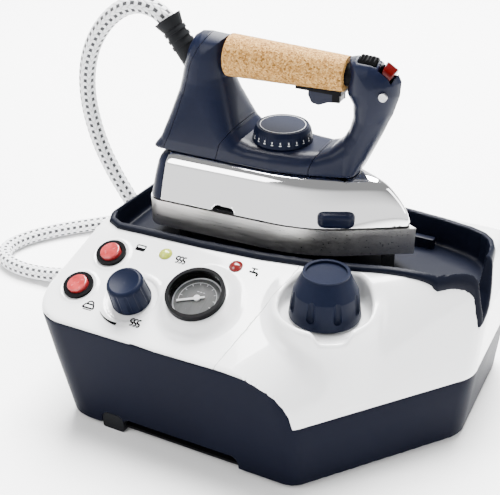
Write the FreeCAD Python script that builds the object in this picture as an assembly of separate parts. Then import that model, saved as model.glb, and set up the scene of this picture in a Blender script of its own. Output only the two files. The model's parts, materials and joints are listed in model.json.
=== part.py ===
import FreeCAD, Part
import math
import os

from FreeCAD import Placement, Rotation, Vector

# Steam generator iron: a boiler base with a parking tray, and the iron parked in it.
# Millimetres. X runs along the iron towards its tip, the control panel faces -Y, Z is up.
# The origin is on the surface the base stands on, under the middle of the base.

os.makedirs("parts", exist_ok=True)

# ---- driving dimensions: base ----
FEET_Z = 4.0            # height of the casing's lower edge above the table
TOP_Z = 141.3           # height of the white cover's top plane over the origin
TOP_RISE = (0.03, -0.055)     # how steeply that plane rises along X and along Y
WALL = 2.6              # casing wall
PANEL_TILT = 23.0       # slope of the control panel, degrees
PANEL_EDGE = (-125.0, 95.0)   # y and z of the panel's lower front edge
BACK_EDGE = (108.0, 131.5)    # y and z of a point on the slope behind the tray
SEAM_GAP = 0.3          # clearance between separate casing parts

# casing outline at rising heights: z, left x, front y, right x, back y
CASE_LEVELS = [(4.0, -143.0, -121.5, 159.5, 120.0), (57.0, -155.5, -123.5, 163.0, 123.0),
               (106.0, -166.0, -125.0, 163.0, 125.0), (152.0, -150.7, -121.5, 154.2, 114.4)]
CHAMFER = (100.0, 121.0)      # how far the cut-off front right corner reaches along X and Y
CORNER_RADII = (24.0, 6.0, 8.0, 24.0, 24.0)   # front left first, anticlockwise
CORNER_START = (63.0, -124.0, 58.0)           # the cut-off corner leans inwards from here up
CORNER_LEAN = 16.0
BACK_TILT = 42.0        # slope of the cover behind the tray
EDGE_R = 22.0           # rounding between the cover's top and the leaning corner

# line between the lower shell and the white cover, seen from the front, as (x, z)
SPLIT_LINE = [(-170, 101), (-135, 97.5), (-100, 95), (-50, 93.5), (5, 94), (26, 93)]
SPLIT_ARC = [(26, 93), (49, 84), (62.5, 58)]      # start, middle and end of the falling arc
SPLIT_LOW_Z = 58.0

# ---- driving dimensions: tray ----
TRAY_FLOOR_Z = 119.5
RIM_HEIGHT = 3.5        # the tray's rim stands this high above the cover
TRAY_WALL = 2.6
TRAY_CORNERS = [(-154, -34.5, 16), (-10, -31.5, 160), (70, -19.5, 300), (131, -5.6, 10), (153, 14, 4),
                (158.5, 30, 10), (156, 60, 14), (146, 76, 20), (128, 83, 50), (70, 95.5, 200),
                (-10, 107.5, 160), (-154, 110.5, 16)]
LIP_Y = (14.3, 50.0)    # width of the lip that hangs over the right end
LIP_LOW_Z = 97.5
LIP_BEAD = 3.6          # width of the raised edge along the lip's near side
# near edge of the lip, where it meets the leaning corner of the casing, as (x, z)
LIP_EDGE = [(128, 146), (134, 142.6), (137, 140.6), (144.6, 134), (150.4, 126.4), (152.7, 123.6),
            (155.4, 111.5), (157.9, 102.7), (159.6, LIP_LOW_Z)]

# ---- driving dimensions: iron ----
IRON_Y = 38.0           # the iron's own centre plane
SOLE_Z = 132.0
SOLE_TOP_Z = 155.0
SOLE_TIP_X = 95.0
SOLE_HEEL_X = -124.5
COVER_TOP_Z = 193.0
DECK_Z = 209.0
GRIP_START = (-68.0, 272.0)   # x and z of the grip's axis at its rear end
GRIP_END = (32.0, 272.8)
GRIP_R = (17.0, 13.8)         # radius at the rear and at the front end
DIAL_AT = (-21.5, IRON_Y)

# ---- driving dimensions: controls ----
CAP_AT = (57.0, -53.0)
CAP_WELL_R = 35.0
CAP_RIM_Z = 125.0
CAP_FLOOR_Z = 116.0
SPOUT_ANGLE = 31.0      # the pouring notch is turned this far from -Y towards +X
KNOB_AT = (-90.5, -90.0)
GAUGE_AT = (-37.0, -78.5)
SWITCHES_AT = {"boiler": (-129.0, -58.0), "iron": (-139.0, -92.0)}
LAMPS_AT = {"ready": (-85.0, -46.0), "water": (-24.0, -41.0)}

# ---- driving dimensions: steam hose ----
HOSE_R = 7.25
COIL_AT = (-96.0, 218.0)
COIL_R = 79.0           # middle of the turns
MAINS_X = 45.0          # where the mains cord enters at the back

# ---- driving dimensions: boiler ----
TANK_AT = (42.0, -36.0)
TANK_R = 50.0

X_AXIS, Y_AXIS, Z_AXIS = Vector(1, 0, 0), Vector(0, 1, 0), Vector(0, 0, 1)
PARTS = {}


# ---- helpers ----
def rounded_points(corners):
    """Edges of a closed outline in XY whose corners (x, y, radius) are rounded."""
    count = len(corners)
    spans = []
    for i in range(count):
        before, here, after = (Vector(*corners[(i + k) % count][:2], 0) for k in (-1, 0, 1))
        radius = corners[i][2] if len(corners[i]) > 2 else 0
        to_before = (before - here).normalize()
        to_after = (after - here).normalize()
        half = to_before.getAngle(to_after) / 2
        if radius == 0:
            spans.append((here, None, here))
            continue
        back = radius / math.tan(half)
        bisector = (to_before + to_after).normalize()
        middle = here + bisector * (radius / math.sin(half) - radius)
        spans.append((here + to_before * back, middle, here + to_after * back))
    edges = []
    for i in range(count):
        start, middle, end = spans[i]
        if middle is not None:
            edges.append(Part.Arc(start, middle, end).toShape())
        following = spans[(i + 1) % count][0]
        if (following - end).Length > 1e-6:
            edges.append(Part.LineSegment(end, following).toShape())
    return edges


def outline(corners, z=0.0, inset=0.0):
    """Closed wire of a rounded outline at height z, moved inwards by inset."""
    wire = Part.Wire(rounded_points(corners))
    if inset:
        wire = wire.makeOffset2D(-inset)
    wire.translate(Vector(0, 0, z))
    return wire


def loft(*wires):
    return Part.makeLoft(list(wires), True, True)


def prism(corners, z0, z1, inset=0.0):
    face = Part.Face(outline(corners, z0, inset))
    return face.extrude(Vector(0, 0, z1 - z0))


def slab_y(corners, y0, y1):
    """Outline drawn in XZ, filled and extruded from y0 to y1."""
    wire = outline(corners)
    wire.rotate(Vector(), X_AXIS, 90)
    wire.translate(Vector(0, y0, 0))
    return Part.Face(wire).extrude(Vector(0, y1 - y0, 0))


def slab_x(corners, x0, x1):
    """Outline drawn in YZ, filled and extruded from x0 to x1."""
    wire = outline(corners)
    wire.rotate(Vector(), X_AXIS, 90)
    wire.rotate(Vector(), Z_AXIS, 90)
    wire.translate(Vector(x0, 0, 0))
    return Part.Face(wire).extrude(Vector(x1 - x0, 0, 0))


def box(x0, x1, y0, y1, z0, z1):
    return Part.makeBox(x1 - x0, y1 - y0, z1 - z0, Vector(x0, y0, z0))


def cylinder(radius, length, base=(0, 0, 0), axis=(0, 0, 1)):
    return Part.makeCylinder(radius, length, Vector(*base), Vector(*axis))


def cone(r0, r1, length, base=(0, 0, 0), axis=(0, 0, 1)):
    return Part.makeCone(r0, r1, length, Vector(*base), Vector(*axis))


def ring(outer, inner, length, base=(0, 0, 0), axis=(0, 0, 1)):
    return cylinder(outer, length, base, axis).cut(cylinder(inner, length, base, axis))


def joined(shapes):
    first, *others = shapes
    return first.fuse(others).removeSplitter() if others else first


def save(name, shape):
    """Write one node, and keep it for the summary."""
    solids = shape.Solids
    body = solids[0] if len(solids) == 1 else Part.makeCompound(solids)
    body.exportStep("parts/%s.step" % name)
    PARTS[name] = body
    print("%-22s solids %d  volume %9.0f  valid %s" % (name, len(solids), body.Volume, body.isValid()))


def panel_z(y):
    return PANEL_EDGE[1] + (y - PANEL_EDGE[0]) * math.tan(math.radians(PANEL_TILT))


def on_panel(shape, at):
    """Move a shape made about the origin so that it stands on the sloping panel at (x, y)."""
    placed = shape.copy()
    place = Placement(Vector(at[0], at[1], panel_z(at[1])), Rotation(X_AXIS, PANEL_TILT))
    placed.Placement = place.multiply(placed.Placement)
    return placed


# ---- casing ----
def cover_planes():
    """The panel's plane and the cover's top plane, each as a normal and a point."""
    tilt = math.radians(PANEL_TILT)
    panel = Vector(0, -math.sin(tilt), math.cos(tilt))
    top = Vector(-TOP_RISE[0], -TOP_RISE[1], 1).normalize()
    return [(panel, Vector(0, PANEL_EDGE[0], PANEL_EDGE[1])), (top, Vector(0, 0, TOP_Z))]


def case_corners(level):
    """Plan outline of the casing at one level: a rectangle with its front right corner cut off."""
    _, left, front, right, back = level
    cut_x, cut_y = CHAMFER
    points = [(left, front), (right - cut_x, front), (right, front + cut_y), (right, back), (left, back)]
    return [point + (radius,) for point, radius in zip(points, CORNER_RADII)]


def beyond(point, normal):
    """Everything on the far side of a plane."""
    block = Part.makeBox(800, 800, 300, Vector(-400, -400, 0))
    block.Placement = Placement(Vector(point), Rotation(Z_AXIS, normal))
    return block


def under_cover(raise_by):
    """Everything below the sloping panel and below the cover's top, both moved out."""
    block = box(-250, 250, -250, 250, -10, 200)
    return block.cut([beyond(point + normal * raise_by, normal) for normal, point in cover_planes()])


def corner_normal():
    plan = Vector(CHAMFER[1], -CHAMFER[0], 0).normalize()
    lean = math.radians(CORNER_LEAN)
    return plan * math.cos(lean) + Z_AXIS * math.sin(lean)


def beyond_corner(offset):
    """Everything outside the leaning corner's face, moved out by offset."""
    return beyond(Vector(CORNER_START) + corner_normal() * offset, corner_normal())


def leaning_corner(inset):
    """What the leaning corner and its rounded upper edge take away, as a fan of planes."""
    face = corner_normal()
    start = Vector(CORNER_START) - face * inset
    cuts = [beyond_corner(-inset)]
    for normal, point in cover_planes():
        along = face.cross(normal)
        on_face, on_top = face.dot(start), normal.dot(point - normal * inset)
        fold = (normal.cross(along) * on_face + along.cross(face) * on_top) * (1 / along.dot(along))
        radius = EDGE_R - inset
        centre = fold - (face + normal) * (radius / (1 + face.dot(normal)))
        for share in (0.2, 0.5, 0.8):
            between = (face * (1 - share) + normal * share).normalize()
            cuts.append(beyond(centre + between * radius, between))
    return cuts


def case_form(inset):
    """Outer form of the whole casing, or that form moved inwards by inset."""
    wires = [outline(case_corners(level), level[0], inset) for level in CASE_LEVELS]
    wires[0].translate(Vector(0, 0, inset))
    body = Part.makeLoft(wires, True, True)
    tilt = math.radians(BACK_TILT)
    back = Vector(0, math.sin(tilt), math.cos(tilt))
    cuts = leaning_corner(inset) + [beyond(Vector(0, *BACK_EDGE) - back * inset, back)]
    return body.common(under_cover(-inset)).cut(cuts)


def below_split(raise_by):
    """Everything under the line between the lower shell and the white cover."""
    points = [Vector(x, -200, z + raise_by) for x, z in SPLIT_LINE]
    start, middle, end = (Vector(x, -200, z + raise_by) for x, z in SPLIT_ARC)
    far = Vector(250, -200, SPLIT_LOW_Z + raise_by)
    edges = [Part.LineSegment(a, b).toShape() for a, b in zip(points, points[1:])]
    edges.append(Part.Arc(start, middle, end).toShape())
    around = [end, far, Vector(250, -200, -20), Vector(-250, -200, -20),
              Vector(-250, -200, points[0].z), points[0]]
    edges += [Part.LineSegment(a, b).toShape() for a, b in zip(around, around[1:])]
    return Part.Face(Part.Wire(edges)).extrude(Vector(0, 400, 0))


def spout_direction():
    angle = math.radians(SPOUT_ANGLE)
    return Vector(math.sin(angle), -math.cos(angle), 0)


def cap_collar():
    """Raised collar round the filler, which runs down to where panel and leaning corner meet."""
    low = 78.0
    return cone(CAP_WELL_R + 7.6, CAP_WELL_R + 4.5, CAP_RIM_Z - low, (*CAP_AT, low))


def cap_well():
    """Space round the filler cap, with the pouring notch."""
    x, y = CAP_AT
    well = cylinder(CAP_WELL_R, 60, (x, y, CAP_FLOOR_Z))
    low = CAP_FLOOR_Z + 0.5
    notch = slab_y([(-10, low, 2), (10, low, 2), (17, low + 12), (17, low + 30), (-17, low + 30),
                    (-17, low + 12)], -60, 0)
    notch.rotate(Vector(), Z_AXIS, SPOUT_ANGLE)
    notch.translate(Vector(x, y, 0))
    return well.cut(tray_opening(TRAY_WALL + 1.8)).fuse(notch)


def lower_shell():
    shell = case_form(0).common(below_split(-SEAM_GAP / 2)).cut(case_form(WALL))
    shell = shell.cut(prism(case_corners(CASE_LEVELS[0]), 0, FEET_Z + WALL + 0.1, WALL))
    arch = slab_y([(-86, -5), (18, -5), (18, 14.5, 7), (-86, 14.5, 3)], -140, -114)
    foot_notch = slab_y([(-106, -5), (-85, -5), (-85, 16, 7), (-106, 16, 7)], -140, -114)
    gland_hole = cylinder(9.2, 40, (-175, 54, 30), (1, 0, 0))
    mains_hole = cylinder(8.2, 40, (MAINS_X, 100, 30), (0, 1, 0))
    return shell.cut([arch, foot_notch, gland_hole, mains_hole])


def bottom_plate():
    plate = prism(case_corners(CASE_LEVELS[0]), FEET_Z + 0.2, FEET_Z + WALL, WALL + 0.6)
    recess_wall = box(-108, 20, -113.5, -111.5, FEET_Z + 1, 20)
    vents = [box(x, x + 3.5, 40, 80, 0, 20) for x in range(-40, 60, 9)]
    foot_space = box(-106, -85, -130, -113.8, 0, 20)
    return plate.fuse(recess_wall).cut(vents + [foot_space, case_screws()])


def feet():
    spots = [(48, -102), (134, 60), (-118, 98), (120, 98)]
    round_feet = [cone(9.5, 10.5, FEET_Z, (x, y, 0)) for x, y in spots]
    tall = [(-105.4, 0, 2), (-85.6, 0, 2), (-85.6, 15.4, 6.5), (-105.4, 15.4, 6.5)]
    front_foot = slab_y(tall, -121.3, -114)
    return Part.makeCompound(round_feet + [front_foot])


def panel_seam_side(gap):
    """Half space on the left of the seam between control panel and white cover."""
    corners = [(-300, -300), (-1 - gap, -300), (-1 - gap, -127), (24 - gap, -30), (24 - gap, 300), (-300, 300)]
    return prism(corners, -10, 300)


def tray_opening(clearance):
    return prism(TRAY_CORNERS, 100, 200, TRAY_WALL - clearance)


def white_casing():
    """Everything white, before it is divided at the panel's seam."""
    form = case_form(0).fuse(cap_collar()).common(case_form(0).fuse(box(-20, 130, -125, 20, 70, 200)))
    x, y = CAP_AT
    inner = case_form(WALL).cut(cylinder(CAP_WELL_R + WALL, 80, (x, y, CAP_FLOOR_Z - WALL)))
    casing = form.cut(inner).cut(below_split(SEAM_GAP / 2)).cut(cap_well())
    casing = casing.cut(tray_opening(SEAM_GAP))
    low = TRAY_FLOOR_Z - TRAY_WALL - 0.3
    for x_from, z_from in ((140, low), (151.8, 111.3), (159.7, LIP_LOW_Z - 0.3)):
        casing = casing.cut(box(x_from, 200, LIP_Y[0] - 0.3, LIP_Y[1] + 0.3, z_from, 200))
    edge = [(px - 0.3, pz - 0.3) for px, pz in LIP_EDGE]
    bead_space = slab_y(edge + [(200, LIP_LOW_Z - 0.3), (200, 200), (edge[0][0], 200)], -14, 30)
    casing = casing.cut(bead_space.common(beyond_corner(-2.8)))
    neck_hole = cylinder(15, 30, (x, y, CAP_FLOOR_Z - 20))
    return casing.cut(neck_hole)


def control_panel(casing):
    panel = casing.common(panel_seam_side(SEAM_GAP / 2))
    gauge_boss = on_panel(cone(33.5, 26, 12, (0, 0, -3)), GAUGE_AT)
    panel = panel.fuse(gauge_boss.cut(case_form(WALL)))
    holes = [on_panel(cylinder(22.3, 60, (0, 0, -40)), GAUGE_AT),
             on_panel(cylinder(20.5, 12, (0, 0, -1.2)), KNOB_AT),
             on_panel(cylinder(4.3, 60, (0, 0, -40)), KNOB_AT)]
    holes += [on_panel(cylinder(11, 60, (0, 0, -40)), at) for at in SWITCHES_AT.values()]
    holes += [on_panel(cylinder(4.2, 60, (0, 0, -40)), at) for at in LAMPS_AT.values()]
    return panel.cut(holes)


def upper_shell(casing):
    return casing.cut(panel_seam_side(-SEAM_GAP / 2))


# ---- tray ----
def lip_profile(thickness, offset):
    """Section of the lip in XZ: flat, round the edge and down the end."""
    outer_x = 166.0 - offset
    top = TRAY_FLOOR_Z
    return [(134, top), (outer_x, top, 15), (outer_x, LIP_LOW_Z), (outer_x - thickness, LIP_LOW_Z),
            (outer_x - thickness, top - thickness, 15 - thickness), (134, top - thickness)]


def lip_bead():
    """Raised edge where the lip and the tray meet the leaning corner of the casing."""
    upper = [(x + LIP_BEAD * 0.7, z + LIP_BEAD * 0.7) for x, z in reversed(LIP_EDGE[:-1])]
    strip = slab_y(LIP_EDGE + [(LIP_EDGE[-1][0] + LIP_BEAD, LIP_LOW_Z)] + upper, -14, 30)
    return strip.common(beyond_corner(-2.4)).cut(beyond_corner(1.2))


def iron_tray():
    """Pan the iron is parked in, with a raised rim, open at its right end over the lip."""
    pan = prism(TRAY_CORNERS, TRAY_FLOOR_Z - TRAY_WALL, 170, TRAY_WALL)
    rim = prism(TRAY_CORNERS, 118, 170).cut(under_cover(0.1))
    inside = prism(TRAY_CORNERS, TRAY_FLOOR_Z, 180, TRAY_WALL * 2)
    open_end = box(150, 200, 17, LIP_Y[1] - 4, TRAY_FLOOR_Z, 200)
    tray = pan.fuse(rim).common(under_cover(RIM_HEIGHT)).cut([inside, open_end])
    lip = slab_y(lip_profile(TRAY_WALL, 1.5), *LIP_Y)
    cheek = [(138, TRAY_FLOOR_Z - 2), (138, 140), (151, 140, 12), (164, 124, 20),
             (166, LIP_LOW_Z), (163.0, LIP_LOW_Z), (160, 118)]
    far_cheek = slab_y(cheek, LIP_Y[1] - 4, LIP_Y[1])
    guide_bar = box(80, 100, 72, 78, TRAY_FLOOR_Z - 1, TRAY_FLOOR_Z + 9)
    tray = tray.fuse([lip, guide_bar, far_cheek]).cut(beyond_corner(1.2))
    return tray.fuse(lip_bead()).removeSplitter()


def rest_pads():
    spots = [(-95, 4), (-95, 72), (10, 14), (10, 62), (76, IRON_Y - 7)]
    pads = [cylinder(5.5, SOLE_Z - 0.4 - TRAY_FLOOR_Z, (x, y, TRAY_FLOOR_Z)) for x, y in spots]
    return Part.makeCompound(pads)


# ---- boiler and fittings inside the base ----
def boiler_tank():
    x, y = TANK_AT
    tank = cylinder(TANK_R, 72, (x, y, 22))
    tank = tank.makeFillet(12, [e for e in tank.Edges if len(e.Vertexes) == 1])
    inner = cylinder(TANK_R - 2, 68, (x, y, 24))
    inner = inner.makeFillet(10, [e for e in inner.Edges if len(e.Vertexes) == 1])
    return tank.cut(inner).cut(cylinder(12, 30, (CAP_AT[0], CAP_AT[1], 70)))


def filler_neck():
    x, y = CAP_AT
    return joined([ring(12, 9, 33, (x, y, 86)), ring(15.5, 12, 3, (x, y, 94.1))])


def boiler_heater():
    x, y = TANK_AT
    return Part.makeTorus(30, 4, Vector(x, y, 17.9))


def steam_valve():
    coil_box = box(-10, 12, 34, 62, 40, 72)
    stem = cylinder(5, 14, (1, 48, 72))
    return coil_box.fuse(stem).cut(steam_pipe())


def steam_pipe():
    """Copper pipe from the boiler through the valve to the hose gland."""
    runs = [pipe([(8, 4, 75), (0.9, 20, 75), (1, 33.9, 62)], 3.0),
            pipe([(-10.1, 48, 50), (-80, 50, 50), (-118, 54, 30), (-141, 54, 30)], 3.0)]
    return Part.makeCompound(runs)


def pressure_switch():
    return joined([cylinder(13, 14, (86, 18, 60)), cylinder(4, 12, (86, 18, 48))])


def control_board():
    board = box(-128, -60, 70, 110, 24, 25.6)
    relay = box(-120, -98, 78, 98, 25.6, 42)
    block = box(-90, -68, 80, 92, 25.6, 38)
    return joined([board, relay, block])


# ---- cords and pipes ----
def route_edges(points, report=False):
    """Straight runs joined by tangent arcs as large as the runs allow."""
    places = [Vector(*p) for p in points]
    radii = []
    edges = []
    last = places[0]
    for before, here, after in zip(places, places[1:], places[2:]):
        back = (before - here)
        on = (after - here)
        run = min(back.Length, on.Length)
        half = (math.pi - back.getAngle(on)) / 2
        cut = 0.45 * run
        radius = cut / math.tan(half)
        radii.append(round(radius))
        start = here + back.normalize() * cut
        end = here + on.normalize() * cut
        bisector = (back + on).normalize()
        middle = here + bisector * (radius / math.cos(half) - radius)
        edges.append(Part.LineSegment(last, start).toShape())
        edges.append(Part.Arc(start, middle, end).toShape())
        last = end
    edges.append(Part.LineSegment(last, places[-1]).toShape())
    if report:
        print("route radii", radii, "length", round(sum(e.Length for e in edges)))
    return edges


def pipe(points, radius, report=False):
    edges = route_edges(points, report)
    path = Part.Wire(edges)
    direction = Vector(*points[1]) - Vector(*points[0])
    section = Part.Wire(Part.makeCircle(radius, Vector(*points[0]), direction))
    tube = path.makePipeShell([section], True, False)
    if report:
        print("tube volume", round(tube.Volume), "expected", round(math.pi * radius ** 2 * path.Length))
    return tube


# ---- controls on the panel ----
def switch_frame(at):
    body = joined([cylinder(12.5, 2.6, (0, 0, 0.1)), cylinder(10.7, 20.2, (0, 0, -20))])
    pocket = cylinder(9.3, 14, (0, 0, -9))
    return on_panel(body.cut(pocket), at)


def switch_rocker(at):
    """Rocker at one of its two tilted positions, with a cross pin line at its middle."""
    face = cylinder(8.5, 8.2, (0, 0, -3.2))
    face = face.makeFillet(1.2, [face.Edges[0]])
    face.rotate(Vector(0, 0, 0), Y_AXIS, -6)
    return on_panel(face, at)


def steam_knob():
    skirt = cone(16.2, 14.6, 22.5, (0, 0, 0.4))
    top = skirt.makeFillet(3.5, [e for e in skirt.Edges if len(e.Vertexes) == 1 and e.BoundBox.ZMin > 20])
    flutes = []
    for i in range(12):
        flute = cylinder(2.4, 26, (17.9, 0, 0))
        flute.rotate(Vector(), Y_AXIS, -3.5)
        flute.rotate(Vector(), Z_AXIS, i * 30)
        flutes.append(flute)
    dish = Part.makeSphere(40, Vector(0, 0, 61.1))
    knob = top.cut(flutes + [dish])
    return on_panel(knob.fuse(cylinder(3.9, 24, (0, 0, -22))), KNOB_AT)


def steam_regulator():
    body = joined([cylinder(11, 20, (0, 0, -36)), cylinder(6.5, 11, (0, 0, -16))])
    return on_panel(body.cut(cylinder(4.0, 19, (0, 0, -23))), KNOB_AT)


GAUGE_LIFT = 9.1        # the gauge stands this high on its boss


def gauge_case():
    body = cylinder(22, 26, (0, 0, GAUGE_LIFT - 26.2)).cut(cylinder(20.4, 8, (0, 0, GAUGE_LIFT - 5.2)))
    return on_panel(body, GAUGE_AT)


def gauge_bezel():
    bezel = ring(23.6, 20.6, 5, (0, 0, GAUGE_LIFT))
    return on_panel(bezel, GAUGE_AT)


def gauge_dial():
    return on_panel(cylinder(20.2, 1.0, (0, 0, GAUGE_LIFT - 5.1)), GAUGE_AT)


def gauge_lens():
    return on_panel(cylinder(20.5, 1.4, (0, 0, GAUGE_LIFT + 2.4)), GAUGE_AT)


def gauge_needle():
    """Pointer at its zero position, lower left on the dial."""
    hub = cylinder(2.6, 1.6, (0, 0, GAUGE_LIFT - 3.6))
    blade = box(-16, 6, -0.8, 0.8, GAUGE_LIFT - 3.2, GAUGE_LIFT - 2.4)
    needle = hub.fuse(blade)
    needle.rotate(Vector(), Z_AXIS, 25)
    return on_panel(needle, GAUGE_AT)


def gauge_tube():
    return pipe([(-30, -62, 86), (-22, -56, 70), (-13, -44, 62), (-9.8, -41, 62)], 1.6)


def lamp(at):
    dome = Part.makeSphere(7.5, Vector(0, 0, -4.6)).common(cylinder(5.6, 10, (0, 0, 0.1)))
    return on_panel(dome.fuse(cylinder(4, 16, (0, 0, -15.9))), at)


# ---- filler cap ----
def boiler_cap():
    """Screw cap with a sloping shoulder, eight grip flutes and a recessed top."""
    x, y = CAP_AT
    low = CAP_FLOOR_Z + 2.4
    cap = joined([cone(27.4, 24.6, 21, (0, 0, low)), cone(24.6, 17.8, 14, (0, 0, low + 21)),
                  cylinder(17.8, 1.2, (0, 0, low + 35))])
    cap = cap.cut(cylinder(15.4, 3, (0, 0, low + 34.2))).cut(cylinder(20, 18, (0, 0, low - 1)))
    flutes = []
    for i in range(8):
        flute = Part.makeSphere(3.4).fuse(cylinder(3.4, 12, (0, 0, -12))).fuse(
            Part.makeSphere(3.4, Vector(0, 0, -12)))
        flute.translate(Vector(26.8, 0, low + 21))
        flute.rotate(Vector(), Z_AXIS, i * 45 - 47)
        flutes.append(flute)
    cap = cap.cut(flutes).cut(cylinder(4.05, 10, (0, 0, low + 16)))
    cap.translate(Vector(x, y, 0))
    return cap


def cap_plug():
    """Threaded plug under the cap, which rises as the cap is unscrewed."""
    x, y = CAP_AT
    return joined([cylinder(8.7, 26, (x, y, 100)), cylinder(15, 4, (x, y, 126)),
                   cylinder(4.0, 8, (x, y, 130))])


def hose_gland():
    return joined([ring(11, 7.6, 14, (-166, 54, 30), (1, 0, 0)),
                   ring(9, 7.6, 20, (-152, 54, 30), (1, 0, 0))])


def mains_gland():
    return joined([ring(10.5, 3.6, 2.5, (MAINS_X, 122.5, 30), (0, 1, 0)),
                   ring(8, 3.6, 12, (MAINS_X, 110.5, 30), (0, 1, 0))])


def case_screws():
    spots = [(-122, -80), (20, -100), (128, 30), (-122, 76), (110, 78)]
    screws = [joined([cylinder(1.8, 12, (x, y, FEET_Z + 1.2)), cylinder(3.4, 1.6, (x, y, FEET_Z - 0.4))])
              for x, y in spots]
    return Part.makeCompound(screws)


# ---- iron: sole and covers ----
SOLE_CORNERS = [(SOLE_TIP_X, 0, 0), (20.6, 43.9, 140), (SOLE_HEEL_X, 49.6, 14),
                (SOLE_HEEL_X, -49.6, 14), (20.6, -43.9, 140)]
# the chrome cover's outline at three heights: z, tip x, shoulder x and half width, heel x and half width
COVER_LEVELS = [(157.0, 92.5, 20.0, 42.4, -122.5, 48.0),
                (175.0, 84.0, 16.0, 37.0, -121.5, 42.0),
                (COVER_TOP_Z, 64.0, 10.0, 31.0, -119.0, 35.0)]
# plan outline of the dark upper body and handle
HANDLE_CORNERS = [(-127, -34.5, 24), (-20, -33.5, 60), (38, -16, 40), (80, -15, 11),
                  (80, 15, 11), (38, 16, 40), (-20, 33.5, 60), (-127, 34.5, 24)]
# half section of the handle seen from the front: half width against height
HANDLE_WIDTHS = [(35, 190), (34, 203), (27.5, 226), (21.5, 250), (18.5, 270), (15.5, 283), (9, 292)]
# side outline of the handle, rear foot first, clockwise over the top; the grip is left out
HANDLE_SIDE = [(-127, COVER_TOP_Z + 0.4), (-120.5, 203), (-115.5, 222), (-109.5, 250), (-106, 270, 30),
               (-99, 285, 12), (-88, 291, 12), (-67.6, 289.5, 3), (-67.6, 254, 2), (-65, 250, 6), (-60, 236, 20),
               (-55, 220, 12), (-50, DECK_Z, 5), (16, DECK_Z, 30), (32, 220, 16), (37.5, 238, 14),
               (37, 252, 8), (31.7, 258.6), (31.7, 287, 2), (39, 289.5, 4), (52, 289, 6), (68, 284, 6),
               (76.5, 273, 7), (70, 246, 30), (58, 220, 30), (45, COVER_TOP_Z + 0.4)]
SEAM_BACK = [(-116, 180), (-116, 193), (-109.5, 207), (-104.5, 224), (-98.5, 250), (-95.5, 266), (-89, 279),
             (-77, 300)]
SEAM_REAR = [(-66, 180), (-66, 196), (-63, 208), (-52, 224), (-30, 244)]
SEAM_FRONT = [(12, 180), (12, 198), (15, 208), (26, 222), (31.5, 236)]


def at_iron(corners):
    """Outline drawn about the iron's centre plane, moved to where the iron stands."""
    return [(c[0], c[1] + IRON_Y) + tuple(c[2:]) for c in corners]


def soleplate():
    plate = prism(at_iron(SOLE_CORNERS), SOLE_Z, SOLE_TOP_Z)
    chamber = prism(at_iron(SOLE_CORNERS), SOLE_Z + 9, SOLE_TOP_Z + 1, 12)
    holes = []
    for x, half in [(72, 6), (58, 13), (42, 20), (24, 26), (4, 30), (-18, 33)]:
        holes += [cylinder(1.6, 12, (x, IRON_Y + side * half, SOLE_Z - 1)) for side in (-1, 1)]
    return plate.cut([chamber] + holes)


def sole_heater():
    """Tubular heating element cast on the sole, in the shape of a hairpin."""
    points = [(-84, IRON_Y - 24, 146), (-30, IRON_Y - 26, 146), (20, IRON_Y - 18, 146), (44, IRON_Y, 146),
              (20, IRON_Y + 18, 146), (-30, IRON_Y + 26, 146), (-84, IRON_Y + 24, 146)]
    return pipe(points, 4.0)


def chamber_lid():
    return prism(at_iron(SOLE_CORNERS), SOLE_TOP_Z - 3, SOLE_TOP_Z - 1.2, 12.3)


def sole_gasket():
    """Dark heat seal between the sole and the chrome cover."""
    outer = prism(at_iron(SOLE_CORNERS), SOLE_TOP_Z + 0.05, 156.9, 3)
    return outer.cut(prism(at_iron(SOLE_CORNERS), SOLE_TOP_Z - 1, 158, 9))


def cover_form(inset):
    wires = []
    for z, tip, shoulder_x, shoulder, heel_x, heel in COVER_LEVELS:
        corners = [(tip, 0, 4), (shoulder_x, shoulder, 120), (heel_x, heel, 14),
                   (heel_x, -heel, 14), (shoulder_x, -shoulder, 120)]
        top = z - inset if z == COVER_TOP_Z else z - inset * 1.5 * (z == COVER_LEVELS[0][0])
        wires.append(outline(at_iron(corners), top, inset))
    return loft(*wires)


def cover_shell():
    shell = cover_form(0).cut(cover_form(1.2))
    shell = shell.cut(box(-100, 40, IRON_Y - 16, IRON_Y + 16, COVER_TOP_Z - 4, COVER_TOP_Z + 4))
    slot = slab_y([(-62, 150), (-42, 150), (-42, 161.5, 5), (-62, 161.5, 5)], IRON_Y - 60, IRON_Y)
    return shell.cut(slot)


def chrome_cover():
    return cover_shell().cut(box(-140, -109, -30, 110, 150, 200))


def heel_plate():
    return cover_shell().common(box(-140, -109.2, -30, 110, 150, 200))


def side_block():
    block = prism([(-15, -6, 3), (15, -6, 3), (15, 6, 1), (-15, 6, 1)], 157.2, 170.5)
    block = block.makeFillet(2.5, [e for e in block.Edges if e.BoundBox.ZMin > 170 and e.BoundBox.YMin < -2])
    block.rotate(Vector(), Z_AXIS, 24)
    block.translate(Vector(39, IRON_Y - 30, 0))
    return block.cut(cover_form(-0.1))


# ---- iron: handle ----
def handle_form(inset):
    side = slab_y([(x, z) + tuple(r) for x, z, *r in HANDLE_SIDE], IRON_Y - 50, IRON_Y + 50)
    if inset:
        wire = outline(HANDLE_SIDE, 0, inset)
        wire.rotate(Vector(), X_AXIS, 90)
        wire.translate(Vector(0, IRON_Y - 50, 0))
        side = Part.Face(wire).extrude(Vector(0, 100, 0))
    plan = prism(at_iron(HANDLE_CORNERS), 180, 310, inset)
    half = [(IRON_Y + w, z) for w, z in HANDLE_WIDTHS]
    other = [(IRON_Y - w, z) for w, z in reversed(HANDLE_WIDTHS)]
    front = slab_x(half + other, -150, 120)
    if inset:
        shrink = FreeCAD.Matrix()
        shrink.scale(1, 1 - inset / 20, 1)
        shrink.move(Vector(0, IRON_Y * inset / 20, -inset))
        front = front.transformGeometry(shrink)
    return side.common(plan).common(front)


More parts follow.
